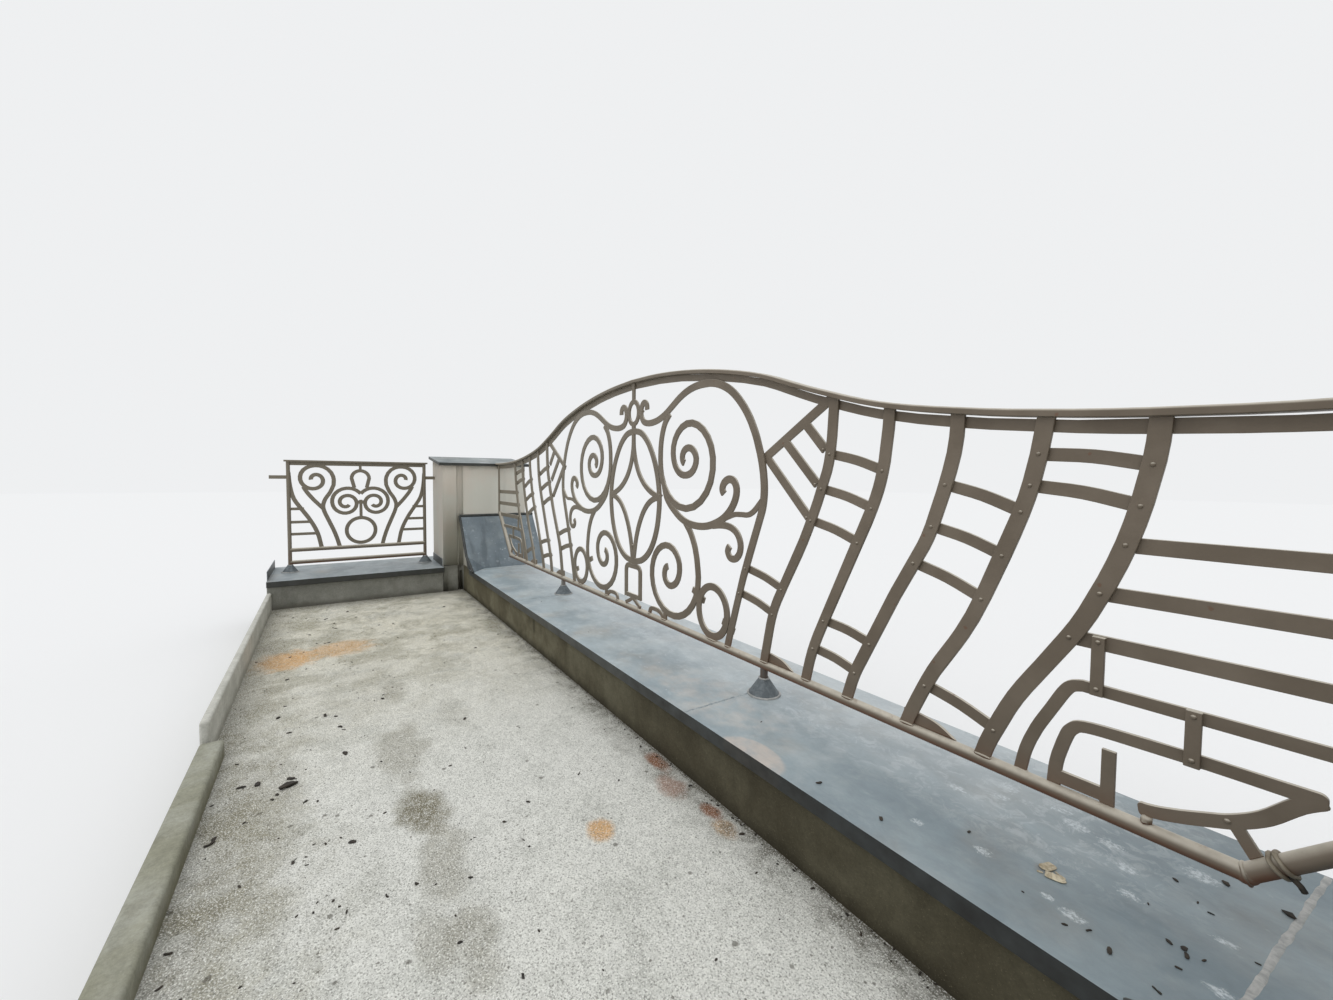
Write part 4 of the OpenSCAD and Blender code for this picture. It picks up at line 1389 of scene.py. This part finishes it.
@dataclass
class Railing:
    """The front railing: handrail, tube, legs, uprights, rungs, grilles and scrollwork.

    Attributes:
        finishes: The balcony's materials.
        bar_nodes: The nodes of flat bars in the middle.
        paired_nodes: The nodes of flat bars in each half.
        edge: Rounding of the flat bars.
        rail_edge: Rounding of the handrail's upper edges.
        rail_under_edge: Rounding of its lower edges.
        joined: Points of the bars nearer than this become one.
        sliver: Edges of the bars shorter than this are taken away.
        bend: Faces of the bars that meet at fewer degrees become one.
        set_back: How far each node's broad faces lie behind those of the node before it.
        rivet_r: Radius of a rivet head.
        rivet_rise: How far it stands out.
        rung_widths: Least and most width of a rung's end.
        level_bar_widths: Least and most width of a level bar's end.
        level_bars_h: The level bars that are riveted are higher than this.
        grille_rivets: Places of the rivets on the short verticals of an end grille.
        brace_rivets: Places of those on the brace.
        prow_rivet: Place of the one on the pointed scroll.
        prow_corners: Places of the pointed scroll's rounded corners, with their radii.
        widest_foot: Wider sections of the bars over the tube are no feet.
        foot_cut: Height over the tube at which the feet are measured.
        bead_drop: How far below that a bead's middle lies.
        bead_margin: How much longer and wider than the foot a bead is.
        bead_rise: Its height.
        lumps: Places of the lumps of weld where scrolls touch.
        lump_size: Their size.
        knuckle_proud: How far out of the tube's surface the middle of the weld at its bend lies.
        knuckle_t: Half the thickness of that weld.
        turns: Distance along the rising tube and lean of each turn of wire.
        wire_proud: How far out of the tube's surface the wire's middle lies.
        wire_t: Half the thickness of the wire.
        wire_end_start: Distance along the tube at which the wire's end leaves it.
        wire_end_t: Half the thickness of that end.
        wire_end_bends: Its bends, from its start.
    """

    finishes: Finishes
    bar_nodes: tuple[str, ...] = ("top_bar", "medallion", "centre_loops", "centre_foot")
    paired_nodes: tuple[str, ...] = (
        "uprights", "rungs", "end_grille", "brace", "crest_scroll", "upper_spiral", "curl_scroll", "lower_spiral",
    )
    edge: float = 0.0011
    rail_edge: float = 0.0055
    rail_under_edge: float = 0.0015
    joined: float = 5e-4
    sliver: float = 1.2e-3
    bend: float = 2.0
    set_back: float = 0.00004
    rivet_r: float = 0.0040
    rivet_rise: float = 0.0028
    rung_widths: Place = (0.020, 0.030)
    level_bar_widths: Place = (0.0255, 0.030)
    level_bars_h: float = 0.55
    grille_rivets: tuple[Place, ...] = ((1.644, 0.593), (1.644, 0.509), (1.766, 0.508), (1.766, 0.438))
    brace_rivets: tuple[Place, ...] = ((0.984, 0.768), (1.012, 0.862), (1.037, 0.957))
    prow_rivet: Place = (1.806, 0.361)
    prow_corners: tuple[Point, ...] = (
        (1.898, 0.4485, 0.009), (1.9006, 0.4299, 0.003), (1.702, 0.3353, 0.007), (1.706, 0.3147, 0.007),
    )
    widest_foot: float = 0.07
    foot_cut: float = 0.003
    bead_drop: float = 0.005
    bead_margin: float = 0.009
    bead_rise: float = 0.008
    lumps: tuple[Place, ...] = ((0.215, 0.806), (0.466, 1.212), (0.067, 1.163), (0.004, 0.577), (1.716, 0.3115))
    lump_size: Point = (0.016, 0.019, 0.014)
    knuckle_proud: float = 0.0006
    knuckle_t: float = 0.0026
    turns: tuple[Place, ...] = ((0.043, 0.08), (0.052, -0.04))
    wire_proud: float = 0.0018
    wire_t: float = 0.0033
    wire_end_start: float = 0.056
    wire_end_t: float = 0.0038
    wire_end_bends: tuple[Point, ...] = ((-0.006, 0.005, -0.001), (-0.012, 0.008, -0.005), (-0.016, 0.007, -0.012))

    def build(self) -> None:
        """Carries over the iron and adds rivets, weld beads and the binding of wire."""
        self.handrail()
        self.rod("bottom_tube", self.finishes.iron)
        self.rod("support_legs", self.finishes.leg_iron)
        for node in self.bar_nodes:
            self.bar(node)
        for side in Side:
            for node in self.paired_nodes:
                self.bar(f"{side.word}_{node}")
            self.rivets(side)
            self.beads(side)
            self.knuckle(side)
        self.binding(Side.NEAR)

    def bar(self, node: str) -> None:
        """Carries over flat bars with slightly rounded edges.

        Args:
            node: The node.
        """
        bm = merged(node, self.joined, self.sliver, self.bend)
        order = [*self.bar_nodes, *self.paired_nodes]
        thin(bm, 1, self.set_back * order.index(node.removeprefix("far_").removeprefix("near_")))
        if node.endswith("end_grille"):
            for s, h, radius in self.prow_corners:
                corner = Vector((s, FLOOR_Z + h))
                round_edges(bm, radius, 5, lambda e: self.passes(e, corner))
        round_edges(bm, self.edge, 2)
        piece(f"{node}_iron", bm, [self.finishes.iron], [node])

    def passes(self, edge: bmesh.types.BMEdge, corner: Vector) -> bool:
        """Whether an edge crosses the railing's plane at a place, given from the middle outwards."""
        ends = (Vector((abs(v.co.x), v.co.z)) for v in edge.verts)
        return all((end - corner).length < CLOSE for end in ends)

    def rod(self, node: str, material: bpy.types.Material) -> None:
        """Carries over round bars."""
        piece(f"{node}_iron", merged(node), [material], [node])

    def handrail(self) -> None:
        """The handrail's upper edges are well rounded, its lower ones a little."""
        bm = merged("handrail")
        round_edges(bm, self.rail_edge, 4, lambda e: any(f.normal.z > 0.5 for f in e.link_faces))
        round_edges(bm, self.rail_under_edge, 2, lambda e: any(f.normal.z < -0.5 for f in e.link_faces))
        piece("handrail_iron", bm, [self.finishes.iron], ["handrail"])

    def end_centres(self, node: str, low: float, high: float) -> list[Vector]:
        """Middles of the square ends of the flat bars in a node.

        Args:
            node: The node.
            low: Least width of the bars.
            high: Their most width.

        Returns:
            The middles.
        """
        bm = merged(node)
        found = []
        for face in bm.faces:
            if abs(face.normal.x) > 0.85 and abs(face.normal.y) < 0.01:
                heights = [v.co.z for v in face.verts]
                if low < max(heights) - min(heights) < high:
                    found.append(face.calc_center_median())
        bm.free()
        return found

    def rivets(self, side: Side) -> None:
        """Rivet heads where the rungs and level bars cross the uprights, on both faces.

        Args:
            side: The half of the balcony.
        """
        places = self.end_centres(f"{side.word}_rungs", *self.rung_widths)
        ends = self.end_centres(f"{side.word}_end_grille", *self.level_bar_widths)
        places += [end for end in ends if end.z > FLOOR_Z + self.level_bars_h]
        for s, h in (*self.grille_rivets, *self.brace_rivets):
            places.append(Vector((side.value * s, 0, FLOOR_Z + h)))
        bm = bmesh.new()
        for place in places:
            for y, out in ((INNER_FACE_Y, 1), (STREET_FACE_Y, -1)):
                dome(bm, Vector((place.x, y, place.z)), Vector((0, out, 0)), self.rivet_r, self.rivet_rise)
        s, h = self.prow_rivet
        for y, out in ((RAIL_Y, 1), (STREET_FACE_Y, -1)):
            dome(bm, Vector((side.value * s, y, FLOOR_Z + h)), Vector((0, out, 0)), self.rivet_r, self.rivet_rise)
        piece(f"{side.word}_rivets", bm, [self.finishes.iron])

    def beads(self, side: Side) -> None:
        """Weld beads where bars stand on the tube, and lumps of weld where scrolls touch.

        Args:
            side: The half of the balcony.
        """
        level = FLOOR_Z + TUBE_H + TUBE_R + self.foot_cut
        bm = bmesh.new()
        feet = [
            box
            for node in ("uprights", "end_grille", "crest_scroll", "lower_spiral")
            for box in self.cuts(f"{side.word}_{node}", level)
            if box[1].x - box[0].x < self.widest_foot
        ]
        for count, (low, high) in enumerate(feet):
            size = Vector((high.x - low.x + self.bead_margin, high.y - low.y + self.bead_margin, self.bead_rise))
            centre = (low + high) / 2
            centre.z = level - self.bead_drop
            blob(bm, centre, size, seed=3.0 * count + side.value)
        for count, (s, h) in enumerate(self.lumps):
            centre = Vector((side.value * s, RAIL_Y, FLOOR_Z + h))
            blob(bm, centre, Vector(self.lump_size), seed=5.0 * count + side.value)
        piece(f"{side.word}_weld_beads", bm, [self.finishes.iron])

    def cuts(self, node: str, level: float) -> list[tuple[Vector, Vector]]:
        """Boxes of the places where a node's bars pass through a level.

        Args:
            node: The node.
            level: The level, in the part's frame.

        Returns:
            Lowest and highest corner of each place, in order of X, so that every run deals out the same lumps.
        """
        bm = merged(node)
        parts = [*bm.verts, *bm.edges, *bm.faces]
        section = bmesh.ops.bisect_plane(
            bm, geom=parts, plane_co=(0, 0, level), plane_no=(0, 0, 1), clear_outer=True, clear_inner=True
        )
        verts = {g for g in section["geom_cut"] if isinstance(g, bmesh.types.BMVert)}
        boxes = []
        while verts:
            group, todo = [], [verts.pop()]
            while todo:
                v = todo.pop()
                group.append(v)
                new = {e.other_vert(v) for e in v.link_edges} & verts
                verts -= new
                todo += new
            low = Vector([min(v.co[i] for v in group) for i in range(3)])
            high = Vector([max(v.co[i] for v in group) for i in range(3)])
            boxes.append((low, high))
        bm.free()
        return sorted(boxes, key=lambda box: tuple(box[0]))

    def along_tube(self, side: Side, distance: float) -> tuple[Vector, Vector]:
        """A place on the rising end of the tube, and the tube's direction there."""
        along = Vector((math.cos(KNUCKLE_RISE) * side.value, 0, math.sin(KNUCKLE_RISE)))
        return Vector((side.value * KNUCKLE_S, RAIL_Y, FLOOR_Z + TUBE_H)) + along * distance, along

    def knuckle(self, side: Side) -> None:
        """The weld round the bend of the tube.

        Args:
            side: The half of the balcony.
        """
        centre, along = self.along_tube(side, 0.0)
        axis = (along + Vector((side.value, 0, 0))).normalized()
        bm = bmesh.new()
        ring(bm, centre, axis, TUBE_R + self.knuckle_proud, self.knuckle_t, seed=4.0, steps=24)
        piece(f"{side.word}_knuckle_weld", bm, [self.finishes.iron])

    def binding(self, side: Side) -> None:
        """Two turns of painted wire round the rising tube, with a dark end that hangs down.

        Args:
            side: The half of the balcony.
        """
        bm = bmesh.new()
        for distance, lean in self.turns:
            centre, along = self.along_tube(side, distance)
            axis = (along + Vector((0, lean, 0))).normalized()
            ring(bm, centre, axis, TUBE_R + self.wire_proud, self.wire_t, seed=distance * 50, steps=24)
        piece(f"{side.word}_wire_binding", bm, [self.finishes.wire])
        bm = bmesh.new()
        middle, _ = self.along_tube(side, self.wire_end_start)
        start = middle + Vector((0, 0.004, -TUBE_R - 0.001))
        sweep(bm, [start] + [start + Vector(bend) for bend in self.wire_end_bends], self.wire_end_t)
        piece(f"{side.word}_wire_end", bm, [self.finishes.litter])


@dataclass
class SideRailings:
    """The two short railings across the side parapets; the values mean what they do on the front railing."""

    finishes: Finishes
    edge: float = 0.001
    joined: float = 3e-4
    sliver: float = 8e-4
    bend: float = 2.0
    set_back: float = 0.00015

    def build(self) -> None:
        """Carries over the frames and scrolls."""
        for side in Side:
            for part in ("side_frame", "side_scrolls"):
                node = f"{side.word}_{part}"
                bm = merged(node, self.joined, self.sliver, self.bend)
                if part == "side_scrolls":
                    thin(bm, 0, self.set_back)
                round_edges(bm, self.edge, 2)
                piece(f"{node}_iron", bm, [self.finishes.iron], [node])


# Dirt


@dataclass
class Debris:
    """Crumbs of dry leaves on the floor and on the front capping.

    Attributes:
        finishes: The balcony's materials.
        seed: Of all the draws.
        on_floor: X, Y and length of the larger crumbs on the floor.
        on_capping: The same on the capping.
        leaf: X and Y of the dead leaf on the capping.
        scattered: How many small crumbs lie about the floor.
        x_span: Where they lie along the balcony.
        y_spans: Where they lie across it; each span holds a third of them.
        along_foot: How many lie along the foot of the front parapet.
        leaf_crumbs: How many lie about the dead leaf.
        leaf_size: Size of each half of the leaf.
    """

    finishes: Finishes
    seed: int = 11
    on_floor: tuple[Point, ...] = (
        (-1.109, 0.265, 0.015), (-1.270, -0.039, 0.009), (-0.207, 0.644, 0.055), (-0.165, 0.640, 0.026),
        (-0.388, 0.784, 0.028), (0.189, 0.848, 0.030), (-0.640, 0.100, 0.014), (-0.260, 0.180, 0.012),
        (0.250, 0.560, 0.030), (0.320, 0.700, 0.022), (-0.820, -0.310, 0.016), (-1.050, -0.300, 0.018),
        (-0.560, -0.300, 0.014), (0.900, -0.240, 0.016), (1.450, 0.300, 0.018), (1.700, -0.100, 0.022),
        (-0.149, 0.716, 0.026), (-0.142, 0.754, 0.025), (-0.235, 0.667, 0.016), (-0.255, 0.677, 0.014),
        (-0.371, 0.779, 0.022), (-0.558, 0.593, 0.009), (-0.555, 0.613, 0.009), (-0.589, 0.590, 0.009),
        (-0.585, 0.708, 0.013), (-0.819, 0.536, 0.010), (-0.784, 0.519, 0.012), (-0.737, 0.542, 0.008),
        (-0.725, 0.569, 0.008), (-0.750, 0.575, 0.008), (-0.742, 0.603, 0.008), (-0.091, 0.506, 0.028),
        (0.013, 0.780, 0.015), (-0.342, 0.242, 0.012), (-0.481, 0.427, 0.010), (-0.528, 0.524, 0.010),
        (-0.782, 0.391, 0.013),
    )
    on_capping: tuple[Point, ...] = (
        (-1.378, -0.369, 0.016), (-1.493, -0.477, 0.012), (-1.613, -0.401, 0.006), (-1.700, -0.403, 0.012),
        (-1.729, -0.386, 0.016), (-1.787, -0.482, 0.012), (-1.792, -0.468, 0.015), (-1.771, -0.479, 0.013),
        (-1.794, -0.601, 0.010), (-1.862, -0.699, 0.021), (-1.793, -0.708, 0.016), (-1.744, -0.647, 0.011),
        (-1.850, -0.537, 0.008), (-1.807, -0.480, 0.010), (-1.783, -0.367, 0.014), (-1.791, -0.434, 0.010),
        (-1.676, -0.385, 0.009), (-1.734, -0.543, 0.006), (-1.777, -0.613, 0.008), (-0.953, -0.454, 0.008),
        (-1.231, -0.361, 0.016), (0.060, -0.402, 0.008), (0.700, -0.420, 0.010),
    )
    leaf: Place = (-1.622, -0.490)
    scattered: int = 240
    x_span: Place = (-2.1, 2.15)
    y_spans: tuple[Place, ...] = ((-0.31, 0.84), (0.10, 0.84), (0.50, 0.84))
    along_foot: int = 110
    leaf_crumbs: int = 9
    leaf_size: Point = (0.034, 0.021, 0.0026)

    def build(self) -> None:
        """Lays the crumbs."""
        dice = random.Random(self.seed)
        bm = bmesh.new()
        for x, y, size in self.on_floor:
            self.crumb(bm, x, y, FLOOR_Z, size, dice)
        for _ in range(self.scattered):
            x = dice.uniform(*self.x_span)
            y = dice.choice([dice.uniform(*span) for span in self.y_spans])
            self.crumb(bm, x, y, FLOOR_Z, 0.005 + 0.016 * dice.random() ** 3, dice)
        for _ in range(self.along_foot):
            x = -1.75 + 2.6 * dice.random() ** 2
            y = PARAPET_INNER_Y + 0.003 + 0.03 * dice.random() ** 2
            self.crumb(bm, x, y, FLOOR_Z, dice.uniform(0.004, 0.012), dice)
        piece("floor_litter", bm, [self.finishes.litter])
        bm = bmesh.new()
        for x, y, size in self.on_capping:
            self.crumb(bm, x, y, CAPPING_Z, size, dice)
        piece("capping_litter", bm, [self.finishes.litter])
        bm = bmesh.new()
        for shift, turn in ((-0.009, 0.4), (0.008, 1.3)):
            centre = Vector((self.leaf[0] + shift, self.leaf[1] - shift, CAPPING_Z + 0.002))
            blob(bm, centre, Vector(self.leaf_size), seed=7.0 + turn, turn=turn, cuts=3, rough=1.5)
        for _ in range(self.leaf_crumbs):
            x, y = (centre + dice.uniform(-0.015, 0.015) for centre in self.leaf)
            self.crumb(bm, x, y, CAPPING_Z, dice.uniform(0.005, 0.012), dice)
        piece("dead_leaf", bm, [self.finishes.leaf])

    def crumb(self, bm: bmesh.types.BMesh, x: float, y: float, z: float, length: float, dice: random.Random) -> None:
        """Adds a crumb that lies on a level.

        Args:
            bm: The mesh it is added to.
            x: Its place along the balcony.
            y: Its place across it.
            z: The level.
            length: Its length.
            dice: Source of the draws.
        """
        height = max(0.002, length * 0.22)
        size = Vector((length, length * dice.uniform(0.3, 0.6), height))
        seed, turn = dice.uniform(0, 50), dice.uniform(0, math.pi)
        blob(bm, Vector((x, y, z + height * 0.4)), size, seed, turn, cuts=1, rough=0.9)


# Studio and camera


@dataclass
class Studio:
    """A plain pale floor and soft light from all round and above.

    Attributes:
        floor_size: Length of the floor's sides.
        floor_roughness: Its roughness.
        sky: Strength of the even light.
        overhead: Strength of the lamp.
        spread: Angle that the lamp fills, which softens its shadows.
        lamp_place: Where it hangs.
        lamp_tilt: How it is turned.
        pale: Colour of the floor and of what lies behind it.
    """

    floor_size: float = 80.0
    floor_roughness: float = 0.95
    sky: float = 0.70
    overhead: float = 1.05
    spread: float = math.radians(75)
    lamp_place: Point = (0, 0, 6)
    lamp_tilt: Point = (math.radians(-14), math.radians(-6), 0)
    pale: Colour = (0.86, 0.87, 0.88, 1.0)

    def build(self) -> None:
        """Makes the floor, the world and the lamp."""
        bm = bmesh.new()
        bmesh.ops.create_grid(bm, x_segments=1, y_segments=1, size=self.floor_size / 2)
        mesh = bpy.data.meshes.new("studio_floor")
        bm.to_mesh(mesh)
        bm.free()
        mesh.materials.append(Shader("studio_floor").finish(self.pale, self.floor_roughness, specular=0.0))
        floor = bpy.data.objects.new("studio_floor", mesh)
        bpy.context.scene.collection.objects.link(floor)
        self.world()
        self.lamp()

    def world(self) -> None:
        """Even light, and a pale background for the camera and for reflections."""
        world = bpy.data.worlds.new("studio")
        bpy.context.scene.world = world
        world.use_nodes = True
        w = Wiring(world.node_tree)
        path = w.node("ShaderNodeLightPath")
        seen = w.field(path, "Is Camera Ray").most(w.field(path, "Is Glossy Ray"))
        seen = seen.most(w.field(path, "Is Transmission Ray"))
        light = w.node("ShaderNodeBackground", None, {"Color": (1, 1, 1, 1), "Strength": self.sky})
        back = w.node("ShaderNodeBackground", None, {"Color": self.pale, "Strength": 1.0})
        mix = w.node("ShaderNodeMixShader", None, {0: seen, 1: w.field(light), 2: w.field(back)})
        w.node("ShaderNodeOutputWorld", None, {0: w.field(mix)})

    def lamp(self) -> None:
        """A wide soft lamp overhead, a little to the street side."""
        light = bpy.data.lights.new("overhead", "SUN")
        light.energy = self.overhead
        light.angle = self.spread
        lamp = bpy.data.objects.new("overhead", light)
        lamp.rotation_euler = self.lamp_tilt
        lamp.location = self.lamp_place
        bpy.context.scene.collection.objects.link(lamp)


@dataclass
class PhotoCamera:
    """The photograph's viewpoint, inside the balcony near its end.

    Attributes:
        place: Where the camera stands.
        right: Direction of the picture's right-hand side.
        down: Direction of its foot.
        forward: Direction of view.
        focal_pixels: Focal length in pixels of the picture.
        picture_width: Width of the picture in pixels.
        sensor: Width of the sensor in millimetres.
        clip: Nearest and furthest distance that is seen.
    """

    place: Point = (-1.9606, 0.535, 1.0558)
    right: Point = (-0.55286, -0.83325, 0.00692)
    down: Point = (-0.03882, 0.01746, -0.99909)
    forward: Point = (0.83237, -0.55262, -0.04200)
    focal_pixels: float = 509.577
    picture_width: int = 1333
    sensor: float = 36.0
    clip: Place = (0.02, 200)

    def build(self) -> None:
        """Makes the camera and gives it to the scene."""
        data = bpy.data.cameras.new("photo_camera")
        data.sensor_fit = "HORIZONTAL"
        data.sensor_width = self.sensor
        data.lens = self.focal_pixels * self.sensor / self.picture_width
        data.clip_start, data.clip_end = self.clip
        camera = bpy.data.objects.new("photo_camera", data)
        axes = Matrix((self.right, [-v for v in self.down], [-v for v in self.forward])).transposed()
        camera.matrix_world = Matrix.Translation(self.place) @ axes.to_4x4()
        bpy.context.scene.collection.objects.link(camera)
        bpy.context.scene.camera = camera


def main() -> None:
    """Builds everything."""
    logging.basicConfig(level=logging.INFO, format="%(name)s: %(message)s")
    bpy.context.scene.view_settings.view_transform = "Standard"
    PhotoCamera().build()
    Studio().build()
    finishes = Finishes.made()
    Masonry(finishes).build()
    Coverings(finishes).build()
    Railing(finishes).build()
    SideRailings(finishes).build()
    Debris(finishes).build()


if __name__ == "__main__":
    main()
